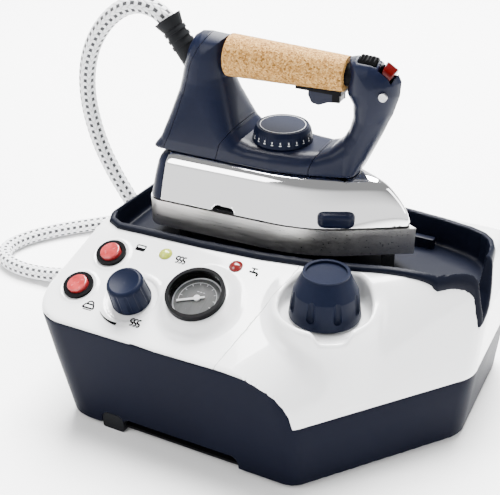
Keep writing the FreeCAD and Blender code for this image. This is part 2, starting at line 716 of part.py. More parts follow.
def behind(seam, shift):
    """Half space on the rear side of a seam drawn in XZ, moved forward by shift."""
    line = [(x + shift, z) for x, z in seam]
    corners = line + [(line[-1][0], 330), (-200, 330), (-200, line[0][1])]
    return slab_y(corners, IRON_Y - 60, IRON_Y + 60)


def handle_pieces():
    """The four moulded shells of the handle, rear to front."""
    gap = SEAM_GAP / 2
    core_space = cylinder(9.2, 128, (GRIP_START[0] - 14, IRON_Y, GRIP_START[1]))
    core_space.rotate(Vector(GRIP_START[0] - 14, IRON_Y, GRIP_START[1]), Y_AXIS, 90)
    shell = handle_form(0).cut(handle_form(2.6)).cut(core_space)
    dial_hole = cylinder(4.8, 30, (DIAL_AT[0], DIAL_AT[1], DECK_Z - 20))
    tube_hole = cylinder(4.5, 8, (-83, IRON_Y, 190))
    screw_hole = cylinder(3.5, 4.7, (65, IRON_Y - 18, 264), (0, 1, 0)).fuse(
        cylinder(1.6, 12, (65, IRON_Y - 14, 264), (0, 1, 0)))
    hose_hole = cylinder(9.1, 60, (-91, IRON_Y, 247.6), (-0.6, 0, 0.8))
    shell = shell.cut([dial_hole, hose_hole, tube_hole, screw_hole])
    back = shell.common(behind(SEAM_BACK, -gap))
    rear = shell.cut(behind(SEAM_BACK, gap)).common(behind(SEAM_REAR, -gap))
    middle_zone = behind(SEAM_FRONT, -gap).common(box(-200, 60, -40, 120, 180, 240))
    middle = shell.cut(behind(SEAM_REAR, gap)).common(middle_zone)
    upper_rear = shell.cut(behind(SEAM_BACK, gap)).common(box(-120, -45, -40, 120, 240, 320))
    front = shell.cut(behind(SEAM_FRONT, gap)).common(box(-20, 120, -40, 120, 180, 320))
    return {"handle_back_cover": back, "handle_rear": rear.fuse(upper_rear).removeSplitter(),
            "handle_deck": middle, "handle_front": front}


def largest(shape):
    """The biggest solid of a shape, without slivers left by cutting."""
    return max(shape.Solids, key=lambda s: s.Volume)


def cork_grip():
    """Tapered cork sleeve, with a flat pocket below for the trigger seat."""
    length = GRIP_END[0] - GRIP_START[0] - 1.0
    x, z = GRIP_START[0] + 0.5, GRIP_START[1]
    grip = cone(GRIP_R[0], GRIP_R[1], length, (x, IRON_Y, z), (1, 0, 0))
    grip = grip.cut(cylinder(9.0, length + 2, (x - 1, IRON_Y, z), (1, 0, 0)))
    seat_pocket = box(-9, 60, IRON_Y - 7.2, IRON_Y + 7.2, 240, 260.2)
    return grip.cut([seat_pocket, box(2.5, 22.5, IRON_Y - 4, IRON_Y + 4, 255, 264)])


def grip_core():
    """Tube that joins the two ends of the handle and carries hose and wires."""
    return ring(8.9, 6.9, 120, (GRIP_START[0] - 13, IRON_Y, GRIP_START[1]), (1, 0, 0))


TRIGGER_PIVOT = (25.0, IRON_Y, 252.5)


def trigger_seat():
    """Plate under the grip with the trigger's two ears and its pin."""
    plate = box(-8.6, 29.4, IRON_Y - 7, IRON_Y + 7, 256.2, 259.6)
    slot = box(0, 28, IRON_Y - 4.3, IRON_Y + 4.3, 250, 262)
    x, y, z = TRIGGER_PIVOT
    ears = [box(x - 3, x + 3, y + side * 5.5 - 1, y + side * 5.5 + 1, z - 2.5, z + 4.5) for side in (-1, 1)]
    pin = cylinder(1.5, 12, (x, y - 6, z), (0, 1, 0))
    return joined([plate.cut(slot)] + ears + [pin])


def trigger():
    blade = slab_y([(1.5, 258.6, 1), (0.8, 252, 2.5), (4, 245.6, 3), (10, 244.6, 3), (18, 248.2, 5),
                    (28, 249.4, 2), (28, 256, 2), (22, 258, 1)], IRON_Y - 4, IRON_Y + 4)
    return blade.cut(cylinder(1.55, 12, (TRIGGER_PIVOT[0], IRON_Y - 6, TRIGGER_PIVOT[2]), (0, 1, 0)))


def thermostat():
    x, y = DIAL_AT
    base = box(x - 14, x + 14, y - 9, y + 9, 156, 166)
    bush = ring(4.4, 3.05, 34, (x, y, 165))
    return base.fuse(bush).cut(cylinder(3.05, 30, (x, y, 170)))


def thermostat_dial():
    x, y = DIAL_AT
    skirt = cone(24.5, 23.0, 8.5, (x, y, DECK_Z + 0.6))
    top = cone(23.0, 21.0, 3.4, (x, y, DECK_Z + 9.1))
    dial = skirt.fuse(top).cut(ring(20.2, 19.4, 2, (x, y, DECK_Z + 11.9)))
    notches = []
    for i in range(30):
        notch = cylinder(1.5, 16, (25.4, 0, 0))
        notch.rotate(Vector(), Y_AXIS, -8)
        notch.rotate(Vector(), Z_AXIS, i * 12)
        notch.translate(Vector(x, y, DECK_Z))
        notches.append(notch)
    hub_space = ring(21, 6.5, 9, (x, y, DECK_Z - 1))
    return dial.cut(notches).cut(hub_space).fuse(cylinder(3.0, 36, (x, y, DECK_Z - 30)))


def steam_button():
    """Ribbed thumb button on the handle's nose."""
    pad = slab_y([(41, 277), (55, 277), (55, 287.8, 1.5), (41, 288.6, 1.5)], IRON_Y - 6, IRON_Y + 6)
    grooves = [box(x, x + 1, IRON_Y - 7, IRON_Y + 7, 287.3, 293) for x in (43.5, 46, 48.5, 51)]
    return pad.cut(grooves)


def lock_slider():
    """Red slider that locks the steam on."""
    return slab_y([(60, 275), (67.2, 275), (70.6, 280.8, 1.2), (61.5, 285.4, 1.2)], IRON_Y - 8, IRON_Y + 8)


def nose_slots():
    """Openings in the handle's nose for the button and the slider."""
    button = box(40.6, 55.4, IRON_Y - 6.4, IRON_Y + 6.4, 270, 300)
    slider = slab_y([(56.8, 272), (67.9, 272), (74.4, 284), (80, 300), (58.6, 300)], IRON_Y - 8.4, IRON_Y + 8.4)
    return [button, slider]


def microswitch():
    return box(3, 22, IRON_Y - 3.5, IRON_Y + 3.5, 260.4, 263)


def trigger_spring():
    return ring(2.6, 1.8, 1.5, (10, IRON_Y, 258.8))


def bend_protector():
    """Ribbed rubber sleeve where the hose leaves the handle, flared at its mouth."""
    body = [cylinder(9.0, 26, (0, 0, -12)), cone(9.0, 8.6, 22, (0, 0, 8)), cone(9.0, 12.0, 9, (0, 0, 28))]
    body += [cylinder(9.8, 3.2, (0, 0, z)) for z in (12, 18, 24)]
    sleeve = joined(body).cut([cylinder(7.6, 60, (0, 0, -14)), cone(7.6, 10.3, 9, (0, 0, 28.01))])
    sleeve.Placement = Placement(Vector(-103, IRON_Y, 263.6), Rotation(Z_AXIS, Vector(-0.6, 0, 0.8)))
    return sleeve


def steam_tube():
    """Tube inside the handle from the hose to the steam chamber."""
    return pipe([(-94, IRON_Y, 251), (-93, IRON_Y, 225), (-84, IRON_Y, 203), (-82, IRON_Y, 170)], 3.0)


def handle_screw():
    return joined([cylinder(3.2, 2.0, (65, IRON_Y - 15.4, 264), (0, 1, 0)),
                   cylinder(1.5, 10, (65, IRON_Y - 13.4, 264), (0, 1, 0))])


# ---- hose ----
HOSE_FROM_IRON = [(-117.5, 38, 283), (-125.5, 38, 293.7), (-139, 38, 301), (-156, 38, 301.5), (-172, 38.3, 294),
                  (-187, 39.5, 281), (-201, 41.5, 263), (-212, 45, 240), (-218, 49, 213),
                  (-219.5, 55, 184), (-217, 62, 154), (-210, 69, 126), (-201, 77, 99),
                  (-192, 85, 73), (-187, 95, 50), (-183, 109, 32), (-171, 126, 23.5),
                  (-150, 136, 22.3), (-125, 139.4, 22), (-99, 139.2, 22)]
HOSE_TO_BASE = [(-147, 280, 8), (-177, 253, 8), (-214, 224, 8), (-253, 193, 8), (-289, 159, 8),
                (-322, 127, 8), (-345, 96, 8), (-353, 68, 8), (-341, 46, 8), (-310, 37, 8),
                (-274, 40, 9), (-240, 47, 16), (-208, 52.5, 26.5), (-183, 54, 30), (-157, 54, 30.1)]


def hose_coil():
    x, y = COIL_AT
    outer = COIL_R + HOSE_R + 0.8
    inner = COIL_R - HOSE_R - 0.8
    block = ring(outer, inner, 4 * HOSE_R + 0.8, (x, y, 0.2))
    return block.cut([pipe(HOSE_FROM_IRON, HOSE_R), pipe(HOSE_TO_BASE, HOSE_R)])


# ---- build everything ----
def build():
    save("lower_shell", lower_shell())
    save("bottom_plate", bottom_plate())
    save("feet", feet())
    casing = white_casing()
    save("control_panel", largest(control_panel(casing)))
    save("upper_shell", largest(upper_shell(casing)))
    save("iron_tray", iron_tray())
    save("tray_rest_pads", rest_pads())
    save("boiler_tank", boiler_tank())
    save("filler_neck", filler_neck())
    save("boiler_heater", boiler_heater())
    save("steam_valve", steam_valve())
    save("steam_pipe", steam_pipe())
    save("pressure_switch", pressure_switch())
    save("control_board", control_board())
    for name, at in SWITCHES_AT.items():
        save(name + "_switch_frame", switch_frame(at))
        save(name + "_switch_rocker", switch_rocker(at))
    for name, at in LAMPS_AT.items():
        save(name + "_lamp", lamp(at))
    save("steam_knob", steam_knob())
    save("steam_regulator", steam_regulator())
    save("gauge_case", gauge_case())
    save("gauge_bezel", gauge_bezel())
    save("gauge_dial", gauge_dial())
    save("gauge_needle", gauge_needle())
    save("gauge_lens", gauge_lens())
    save("gauge_tube", gauge_tube())
    save("boiler_cap", boiler_cap())
    save("cap_plug", cap_plug())
    save("hose_gland", hose_gland())
    save("mains_gland", mains_gland())
    save("case_screws", case_screws())
    save("soleplate", soleplate())
    save("sole_heater", sole_heater())
    save("chamber_lid", chamber_lid())
    save("sole_gasket", sole_gasket())
    save("chrome_cover", chrome_cover())
    save("heel_plate", heel_plate())
    save("side_block", side_block())
    for name, piece in handle_pieces().items():
        save(name, largest(piece.cut(nose_slots()) if name == "handle_front" else piece))
    save("cork_grip", cork_grip())
    save("grip_core", grip_core())
    save("trigger_seat", trigger_seat())
    save("trigger", trigger())
    save("trigger_spring", trigger_spring())
    save("microswitch", microswitch())
    save("thermostat", thermostat())
    save("thermostat_dial", thermostat_dial())
    save("steam_button", steam_button())
    save("lock_slider", lock_slider())
    save("bend_protector", bend_protector())
    save("steam_tube", steam_tube())
    save("handle_screw", handle_screw())
    save("hose_from_iron", pipe(HOSE_FROM_IRON, HOSE_R, report=True))
    save("hose_coil", hose_coil())
    save("hose_to_base", pipe(HOSE_TO_BASE, HOSE_R, report=True))
    print("nodes", len(PARTS))


build()
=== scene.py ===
import json
import math

import bmesh
import bpy
import numpy as np
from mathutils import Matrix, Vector


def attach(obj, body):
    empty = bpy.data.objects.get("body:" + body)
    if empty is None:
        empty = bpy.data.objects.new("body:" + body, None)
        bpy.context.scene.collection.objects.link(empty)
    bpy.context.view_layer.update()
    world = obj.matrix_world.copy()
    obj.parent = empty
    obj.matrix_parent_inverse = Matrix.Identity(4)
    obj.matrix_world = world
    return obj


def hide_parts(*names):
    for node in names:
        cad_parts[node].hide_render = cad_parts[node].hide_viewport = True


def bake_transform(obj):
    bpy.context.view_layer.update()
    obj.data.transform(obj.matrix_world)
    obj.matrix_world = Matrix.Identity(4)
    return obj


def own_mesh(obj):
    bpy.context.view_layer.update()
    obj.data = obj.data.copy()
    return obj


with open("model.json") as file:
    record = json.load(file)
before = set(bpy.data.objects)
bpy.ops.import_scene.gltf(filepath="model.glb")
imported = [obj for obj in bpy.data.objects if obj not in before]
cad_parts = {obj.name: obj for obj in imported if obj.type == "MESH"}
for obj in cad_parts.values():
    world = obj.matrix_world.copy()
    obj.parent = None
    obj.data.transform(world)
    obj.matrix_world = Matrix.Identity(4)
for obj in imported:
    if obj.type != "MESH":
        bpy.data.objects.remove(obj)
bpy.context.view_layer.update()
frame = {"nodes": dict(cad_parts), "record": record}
nodes = frame["nodes"]


def add(name, data):
    """A new object in the scene."""
    obj = bpy.data.objects.new(name, data)
    bpy.context.scene.collection.objects.link(obj)
    return obj


# ---------------------------------------------------------------- camera, light and stage
AZIMUTH, ELEVATION, DISTANCE = math.radians(26.5), math.radians(30.0), 0.871
TARGET = Vector((-0.051, 0.038, 0.100))


def make_camera():
    away = Vector((math.sin(AZIMUTH) * math.cos(ELEVATION), -math.cos(AZIMUTH) * math.cos(ELEVATION),
                   math.sin(ELEVATION)))
    data = bpy.data.cameras.new("camera")
    data.lens, data.sensor_width = 72.0, 36.0
    data.clip_end = 20.0
    camera = add("camera", data)
    camera.location = TARGET + away * DISTANCE
    camera.rotation_euler = (TARGET - camera.location).to_track_quat("-Z", "Y").to_euler()
    bpy.context.scene.camera = camera


def area_light(name, place, aim, size, power):
    data = bpy.data.lights.new(name, "AREA")
    data.shape, data.size, data.size_y = "RECTANGLE", size[0], size[1]
    data.energy = power
    light = add(name, data)
    light.location = place
    light.rotation_euler = (Vector(aim) - Vector(place)).to_track_quat("-Z", "Y").to_euler()


def make_world():
    """Pale sky, brighter near the horizon than overhead."""
    world = bpy.data.worlds.new("studio")
    bpy.context.scene.world = world
    world.use_nodes = True
    background = world.node_tree.nodes["Background"]
    made, links = world.node_tree.nodes, world.node_tree.links
    place, parts = made.new("ShaderNodeTexCoord"), made.new("ShaderNodeSeparateXYZ")
    fade = made.new("ShaderNodeMapRange")
    fade.inputs["From Min"].default_value, fade.inputs["From Max"].default_value = 0.25, 0.6
    fade.inputs["To Min"].default_value, fade.inputs["To Max"].default_value = 1.7, 0.35
    links.new(place.outputs["Generated"], parts.inputs[0])
    links.new(parts.outputs[2], fade.inputs["Value"])
    links.new(fade.outputs["Result"], background.inputs["Strength"])
    background.inputs["Color"].default_value = (1.0, 1.0, 1.0, 1.0)


def make_floor():
    mesh = bpy.data.meshes.new("floor")
    mesh.from_pydata([(-6, -6, 0), (6, -6, 0), (6, 6, 0), (-6, 6, 0)], [], [(0, 1, 2, 3)])
    floor = add("floor", mesh)
    material = bpy.data.materials.new("floor")
    material.use_nodes = True
    shader = material.node_tree.nodes["Principled BSDF"]
    shader.inputs["Base Color"].default_value = (0.985, 0.985, 0.985, 1)
    shader.inputs["Roughness"].default_value = 0.9
    mesh.materials.append(material)


make_camera()
make_world()
make_floor()
area_light("top", (-0.35, 1.0, 2.1), (0, 0, 0), (1.7, 1.7), 470)
area_light("key", (-0.9, -1.2, 1.4), (0, 0, 0.12), (0.9, 0.9), 22)
area_light("right", (1.5, 0.1, 1.0), (0, 0, 0.1), (0.8, 1.2), 16)


# ---------------------------------------------------------------- materials
class Graph:
    """Short names for building a material's nodes."""

    def __init__(self, name):
        self.material = bpy.data.materials.new(name)
        self.material.use_nodes = True
        self.tree = self.material.node_tree
        self.shader = self.tree.nodes["Principled BSDF"]
        coordinates = self.tree.nodes.new("ShaderNodeTexCoord")
        self.place = coordinates.outputs["Object"]
        self.uv = coordinates.outputs["UV"]

    def put(self, socket, value):
        if isinstance(value, bpy.types.NodeSocket):
            self.tree.links.new(value, socket)
        else:
            socket.default_value = value

    def set(self, **values):
        for name, value in values.items():
            self.put(self.shader.inputs[name.replace("_", " ")], value)

    def node(self, kind, output=0, settings=(), **values):
        made = self.tree.nodes.new(kind)
        for name, value in dict(settings).items():
            setattr(made, name, value)
        for name, value in values.items():
            key = int(name[1:]) if name[0] == "i" and name[1:].isdigit() else name.replace("_", " ")
            self.put(made.inputs[key], value)
        return made.outputs[output]

    def stretched(self, scale, source=None):
        return self.node("ShaderNodeMapping", Vector=source or self.place, Scale=scale)

    def noise(self, scale, detail=4.0, roughness=0.55, source=None):
        return self.node("ShaderNodeTexNoise", Vector=source or self.place, Scale=scale, Detail=detail,
                         Roughness=roughness)

    def cells(self, scale, output="Color", source=None):
        return self.node("ShaderNodeTexVoronoi", output, Vector=source or self.place, Scale=scale)

    def ramp(self, value, *stops):
        made = self.tree.nodes.new("ShaderNodeValToRGB")
        elements = made.color_ramp.elements
        while len(elements) < len(stops):
            elements.new(0.5)
        for element, (position, colour) in zip(elements, stops):
            element.position = position
            element.color = tuple(colour) + (1,) if len(colour) == 3 else colour
        self.put(made.inputs["Fac"], value)
        return made.outputs["Color"]

    def grey(self, value, low, high, start=0.0, end=1.0):
        return self.node("ShaderNodeMapRange", Value=value, From_Min=start, From_Max=end, To_Min=low,
                         To_Max=high)

    def maths(self, operation, a, b=0.0):
        return self.node("ShaderNodeMath", 0, {"operation": operation}, i0=a, i1=b)

    def mix(self, share, a, b, blend="MIX"):
        made = self.tree.nodes.new("ShaderNodeMix")
        made.data_type, made.blend_type = "RGBA", blend
        self.put(made.inputs[0], share)
        self.put(made.inputs[6], a)
        self.put(made.inputs[7], b)
        return made.outputs[2]

    def bump(self, height, strength, distance, under=None):
        extra = {"Normal": under} if under else {}
        return self.node("ShaderNodeBump", Height=height, Strength=strength, Distance=distance, **extra)


def rgb(r, g, b):
    return (r, g, b, 1.0)


def moulded(name, colour, worn, roughness, grain, coat=0.0, shine=0.06):
    """Moulded plastic: fine grain, faint sink marks and slightly uneven gloss and colour."""
    g = Graph(name)
    cloud = g.noise(14, 3)
    speck = g.noise(900, 2)
    g.set(Base_Color=g.mix(g.grey(cloud, 0.0, 1.0, 0.3, 0.7), rgb(*colour), rgb(*worn)),
          Roughness=g.maths("ADD", g.grey(cloud, roughness - 0.04, roughness + 0.04, 0.3, 0.7),
                            g.grey(speck, -0.02, 0.02, 0.3, 0.7)),
          Coat_Weight=coat, Coat_Roughness=0.08, Specular_IOR_Level=shine)
    fine = g.bump(g.cells(1500, "Distance"), grain, 0.00012)
    g.set(Normal=g.bump(g.noise(38, 1), 0.05, 0.0006, fine))
    return g.material


def gloss_white():
    g = Graph("white_plastic")
    cloud = g.noise(9, 3)
    g.set(Base_Color=g.mix(cloud, rgb(0.74, 0.745, 0.755), rgb(0.78, 0.785, 0.79)),
          Roughness=g.grey(g.noise(60, 5), 0.17, 0.25, 0.3, 0.7), Coat_Weight=0.6, Coat_Roughness=0.05)
    g.set(Normal=g.bump(g.noise(22, 2), 0.04, 0.0008, g.bump(g.noise(700, 2), 0.04, 0.0001)))
    return g.material


def cork():
    """Pressed cork: pale granules of several browns, dark flecks and small pits."""
    g = Graph("cork")
    warp = g.node("ShaderNodeMix", 1, {"data_type": "VECTOR"}, Factor=0.0012, i4=g.place,
                  i5=g.node("ShaderNodeTexNoise", "Color", Vector=g.place, Scale=300.0, Detail=2.0))
    granule = g.cells(820, "Color", warp)
    tone = g.node("ShaderNodeSeparateColor", 0, Color=granule)
    brown = g.ramp(tone, (0.0, (0.18, 0.080, 0.017)), (0.25, (0.34, 0.170, 0.046)),
                   (0.6, (0.47, 0.255, 0.078)), (1.0, (0.60, 0.360, 0.130)))
    grit = g.ramp(g.noise(1600, 3, 0.7), (0.42, (0.62, 0.62, 0.62)), (0.58, (1.0, 1.0, 1.0)))
    fleck = g.ramp(g.noise(420, 2, 0.6), (0.66, (0, 0, 0)), (0.72, (1, 1, 1)))
    colour = g.mix(1.0, brown, grit, "MULTIPLY")
    colour = g.mix(g.grey(fleck, 0.0, 0.75), colour, rgb(0.07, 0.030, 0.010))
    g.set(Base_Color=colour, Roughness=g.grey(tone, 0.62, 0.85), Specular_IOR_Level=0.08)
    pits = g.bump(g.noise(1300, 3, 0.7), 0.35, 0.00035)
    g.set(Normal=g.bump(g.cells(820, "Distance", warp), 0.5, 0.0004, pits))
    return g.material


def chrome():
    g = Graph("chrome")
    g.set(Base_Color=rgb(0.93, 0.93, 0.94), Metallic=1.0,
          Roughness=g.grey(g.noise(40, 4), 0.045, 0.10, 0.3, 0.7))
    polish = g.noise(90, 3, 0.6, g.stretched((0.15, 1, 1)))
    g.set(Normal=g.bump(polish, 0.01, 0.0002))
    return g.material


def brushed(name, dark, light, along=(0.012, 1, 1), scale=900, roughness=0.3, depth=0.22):
    """Metal with fine lines along one axis."""
    g = Graph(name)
    lines = g.noise(scale, 3, 0.7, g.stretched(along))
    wide = g.noise(scale / 9, 2, 0.6, g.stretched(along))
    shade = g.maths("ADD", g.maths("MULTIPLY", lines, 0.6), g.maths("MULTIPLY", wide, 0.4))
    g.set(Base_Color=g.ramp(shade, (0.3, dark), (0.7, light)), Metallic=1.0,
          Roughness=g.grey(lines, roughness - 0.08, roughness + 0.14, 0.3, 0.7))
    g.set(Normal=g.bump(lines, depth, 0.0002))
    return g.material


def lens(name, deep, bright, glow):
    """Translucent coloured lens: a little cloudy, with faint moulded dimples."""
    g = Graph(name)
    cloud = g.noise(120, 3)
    g.set(Base_Color=g.mix(g.grey(cloud, 0, 1, 0.35, 0.65), rgb(*deep), rgb(*bright)),
          Roughness=g.grey(g.noise(300, 3), 0.16, 0.3, 0.3, 0.7), Subsurface_Weight=0.35,
          Subsurface_Radius=(0.004, 0.0015, 0.001), Subsurface_Scale=0.5, Coat_Weight=0.5,
          Coat_Roughness=0.06, Emission_Color=rgb(*bright), Emission_Strength=glow)
    g.set(Normal=g.bump(g.cells(420, "Distance"), 0.12, 0.0005))
    return g.material


def machined(name, dark, light, roughness):
    g = Graph(name)
    cloud = g.noise(70, 5, 0.6)
    g.set(Base_Color=g.ramp(cloud, (0.35, dark), (0.65, light)), Metallic=1.0,
          Roughness=g.grey(g.noise(400, 3), roughness - 0.06, roughness + 0.08, 0.3, 0.7))
    g.set(Normal=g.bump(g.noise(600, 3), 0.1, 0.0002))
    return g.material


def gauge_grey():
    g = Graph("gauge_face")
    lines = g.noise(500, 2, 0.5, g.stretched((1, 0.05, 0.05)))
    g.set(Base_Color=g.mix(g.grey(lines, 0, 1, 0.3, 0.7), rgb(0.045, 0.046, 0.047), rgb(0.068, 0.070, 0.070)),
          Roughness=g.grey(g.noise(250, 3), 0.38, 0.5, 0.3, 0.7), Metallic=0.2)
    g.set(Normal=g.bump(lines, 0.05, 0.0001))
    return g.material


def clear_lens():
    g = Graph("clear_lens")
    g.set(Base_Color=rgb(1, 1, 1), Roughness=g.grey(g.noise(120, 3), 0.0, 0.05, 0.3, 0.7),
          Transmission_Weight=1.0, IOR=1.03)
    return g.material


def braid():
    """White textile braid with rows of dark dashes, laid out by the tube's own UVs: U round it, V in
    metres along it."""
    g = Graph("hose_braid")
    around = g.node("ShaderNodeSeparateXYZ", 0, Vector=g.uv)
    along = g.node("ShaderNodeSeparateXYZ", 1, Vector=g.uv)
    strands, pitch = 14.0, 0.0068
    turn = g.maths("MULTIPLY", around, strands)
    step = g.maths("DIVIDE", along, pitch)
    one = g.maths("ADD", turn, step)
    other = g.maths("SUBTRACT", turn, step)
    wave_one = g.maths("ABSOLUTE", g.maths("SINE", g.maths("MULTIPLY", one, math.pi)))
    wave_other = g.maths("ABSOLUTE", g.maths("SINE", g.maths("MULTIPLY", other, math.pi)))
    check = g.maths("GREATER_THAN", g.maths("SINE", g.maths("MULTIPLY", turn, math.pi)), 0.0)
    height = g.node("ShaderNodeMix", 0, {"data_type": "FLOAT"}, Factor=check, i2=wave_one, i3=wave_other)
    dash_row = g.maths("GREATER_THAN", g.maths("COSINE", g.maths("MULTIPLY", turn, math.pi)), 0.15)
    dash_step = g.maths("GREATER_THAN", g.maths("SINE", g.maths("MULTIPLY", step, 2 * math.pi)), -0.1)
    dash = g.maths("MULTIPLY", dash_row, dash_step)
    fibre = g.noise(2600, 3, 0.7)
    white = g.mix(g.grey(fibre, 0, 1, 0.3, 0.7), rgb(0.62, 0.63, 0.65), rgb(0.84, 0.84, 0.85))
    dark = g.mix(g.grey(fibre, 0, 1, 0.3, 0.7), rgb(0.014, 0.014, 0.017), rgb(0.040, 0.040, 0.045))
    shadow = g.grey(height, 0.55, 1.0, 0.0, 0.6)
    colour = g.mix(1.0, g.mix(dash, white, dark), g.node("ShaderNodeCombineColor", 0, i0=shadow, i1=shadow,
                                                       i2=shadow), "MULTIPLY")
    g.set(Base_Color=colour, Roughness=g.grey(fibre, 0.7, 0.9), Sheen_Weight=0.3, Sheen_Roughness=0.4)
    g.set(Normal=g.bump(height, 0.8, 0.0006, g.bump(fibre, 0.3, 0.0002)))
    return g.material


NAVY, NAVY_WORN = (0.0030, 0.0047, 0.0145), (0.0038, 0.0059, 0.0175)
MATERIALS = {
    "navy_plastic": moulded("navy_plastic", NAVY, NAVY_WORN, 0.33, 0.12, shine=0.13),
    # the lower shell's plastic: the navy with less gloss, and a darker colour that is painted shade on its
    # walls
    "shell_plastic_painted_shade": moulded("shell_plastic_painted_shade", (0.0026, 0.0034, 0.0085), (0.0033, 0.0043, 0.0102), 0.4, 0.1,
                             shine=0.03),
    "tray_plastic": moulded("tray_plastic", (0.0022, 0.0030, 0.0072), (0.0030, 0.0040, 0.0090), 0.38, 0.1),
    "knob_plastic": moulded("knob_plastic", (0.0028, 0.0046, 0.0130), (0.0038, 0.0060, 0.0165), 0.42, 0.2),
    "black_plastic": moulded("black_plastic", (0.0028, 0.0028, 0.0032), (0.0045, 0.0045, 0.005), 0.34, 0.1,
                             shine=0.025),
    "rubber": moulded("rubber", (0.006, 0.0065, 0.0075), (0.010, 0.0105, 0.012), 0.6, 0.35),
    "white_plastic": gloss_white(),
    "tank_steel": brushed("tank_steel", (0.42, 0.42, 0.43), (0.62, 0.62, 0.63)),
    "brass": machined("brass", (0.62, 0.42, 0.17), (0.78, 0.56, 0.27), 0.28),
    "circuit_board": moulded("circuit_board", (0.02, 0.13, 0.05), (0.04, 0.18, 0.08), 0.4, 0.1),
    "red_lens": lens("red_lens", (0.24, 0.014, 0.016), (0.37, 0.035, 0.038), 0.04),
    "green_lens": lens("green_lens", (0.26, 0.30, 0.018), (0.38, 0.43, 0.05), 0.04),
    "red_lamp": lens("red_lamp", (0.11, 0.003, 0.003), (0.18, 0.008, 0.008), 0.01),
    "gauge_face": gauge_grey(),
    "needle_paint": moulded("needle_paint", (0.80, 0.80, 0.80), (0.88, 0.88, 0.88), 0.4, 0.05),
    "clear_lens": clear_lens(),
    "screw_steel": machined("screw_steel", (0.22, 0.22, 0.23), (0.40, 0.40, 0.41), 0.25),
    "sole_steel": brushed("sole_steel", (0.50, 0.49, 0.475), (0.68, 0.67, 0.65), roughness=0.34, depth=0.05),
    "cast_metal": machined("cast_metal", (0.32, 0.32, 0.33), (0.48, 0.48, 0.49), 0.5),
    "chrome": chrome(),
    "cork": cork(),
    "red_plastic": moulded("red_plastic", (0.045, 0.0002, 0.0003), (0.06, 0.0004, 0.0005), 0.25, 0.05, 0.2),
    "hose_braid": braid(),
}


def paint(obj, slot):
    obj.data.materials.clear()
    obj.data.materials.append(MATERIALS[slot])


SLOTS = {part["node"]: part["material_slot"] for part in frame["record"]["subparts"]}
for node, slot in SLOTS.items():
    paint(nodes[node], slot)


# ---------------------------------------------------------------- hose
HOSE_R = 0.00725
ROUTE_FROM_IRON = [
    (-117.5, 38, 283), (-125.5, 38, 293.7), (-139, 38, 301), (-156, 38, 301.5), (-172, 38.3, 294),
    (-187, 39.5, 281), (-201, 41.5, 263), (-212, 45, 240), (-218, 49, 213), (-219.5, 55, 184),
    (-217, 62, 154), (-210, 69, 126), (-201, 77, 99), (-192, 85, 73), (-187, 95, 50), (-183, 109, 32),
    (-171, 126, 23.5), (-150, 136, 22.3), (-125, 139.4, 22)]
ROUTE_TO_BASE = [
    (-177, 253, 8), (-214, 224, 8), (-253, 193, 8), (-289, 159, 8), (-322, 127, 8), (-345, 96, 8),
    (-353, 68, 8), (-341, 46, 8), (-310, 37, 8), (-274, 40, 9), (-240, 47, 16), (-208, 52.5, 26.5),
    (-183, 54, 30), (-157, 54, 30.1)]
COIL_AT, COIL_R = (-96.0, 218.0), 79.0
COIL_TURNS, COIL_TOP, COIL_LOW = 1.61, 22.3, 7.8


def coil_points():
    """The turn and a half behind the base. It comes down only where it doesn't lie over itself."""
    points = []
    steps = round(COIL_TURNS * 18)
    lap = COIL_TURNS - 1
    for i in range(steps + 1):
        turned = COIL_TURNS * i / steps
        fall = min(max((turned - lap) / (1 - lap), 0), 1)
        fall = fall * fall * (3 - 2 * fall)
        angle = math.radians(-90) + turned * 2 * math.pi
        points.append((COIL_AT[0] + COIL_R * math.cos(angle), COIL_AT[1] + COIL_R * math.sin(angle),
                       COIL_TOP + (COIL_LOW - COIL_TOP) * fall))
    return points


def hose_line():
    """Points close together along the hose's smooth centreline, in metres."""
    curve = bpy.data.curves.new("hose_line", "CURVE")
    curve.dimensions = "3D"
    route = ROUTE_FROM_IRON + coil_points() + ROUTE_TO_BASE
    spline = curve.splines.new("NURBS")
    spline.points.add(len(route) - 1)
    for point, place in zip(spline.points, route):
        point.co = (place[0] / 1000, place[1] / 1000, place[2] / 1000, 1)
    spline.order_u = 3
    spline.use_endpoint_u = True
    spline.resolution_u = 10
    holder = add("hose_line", curve)
    mesh = bpy.data.meshes.new_from_object(holder.evaluated_get(bpy.context.evaluated_depsgraph_get()))
    line = [v.co.copy() for v in mesh.vertices]
    bpy.data.objects.remove(holder)
    bpy.data.meshes.remove(mesh)
    return line


def tube_mesh(name, line, radius, around=24):
    """A tube along a line, with U once round it and V in metres along it."""
    bm = bmesh.new()
    uv = bm.loops.layers.uv.new("UVMap")
    side = None
    rings = []
    travelled = 0.0
    for i, here in enumerate(line):
        ahead = (line[min(i + 1, len(line) - 1)] - line[max(i - 1, 0)]).normalized()
        if side is None:
            side = ahead.orthogonal().normalized()
        side = (side - ahead * side.dot(ahead)).normalized()
        up = ahead.cross(side)
        if i:
            travelled += (here - line[i - 1]).length
        ring = [bm.verts.new(here + (side * math.cos(a) + up * math.sin(a)) * radius)
                for a in (2 * math.pi * k / around for k in range(around))]
        rings.append((ring, travelled))
    for (a, va), (b, vb) in zip(rings, rings[1:]):
        for k in range(around):
            n = (k + 1) % around
            face = bm.faces.new((a[k], a[n], b[n], b[k]))
            face.smooth = True
            for loop, place in zip(face.loops, ((k, va), (k + 1, va), (k + 1, vb), (k, vb))):
                loop[uv].uv = (place[0] / around, place[1])
    for ring, _ in (rings[0], rings[-1]):
        bm.faces.new(ring if ring is rings[-1][0] else ring[::-1])
    bmesh.ops.recalc_face_normals(bm, faces=bm.faces)
    mesh = bpy.data.meshes.new(name)
    bm.to_mesh(mesh)
    bm.free()
    return add(name, mesh)


line = hose_line()
hose = tube_mesh("steam_hose", line, HOSE_R)
paint(hose, "hose_braid")
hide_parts("hose_from_iron", "hose_coil", "hose_to_base")
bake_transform(hose)


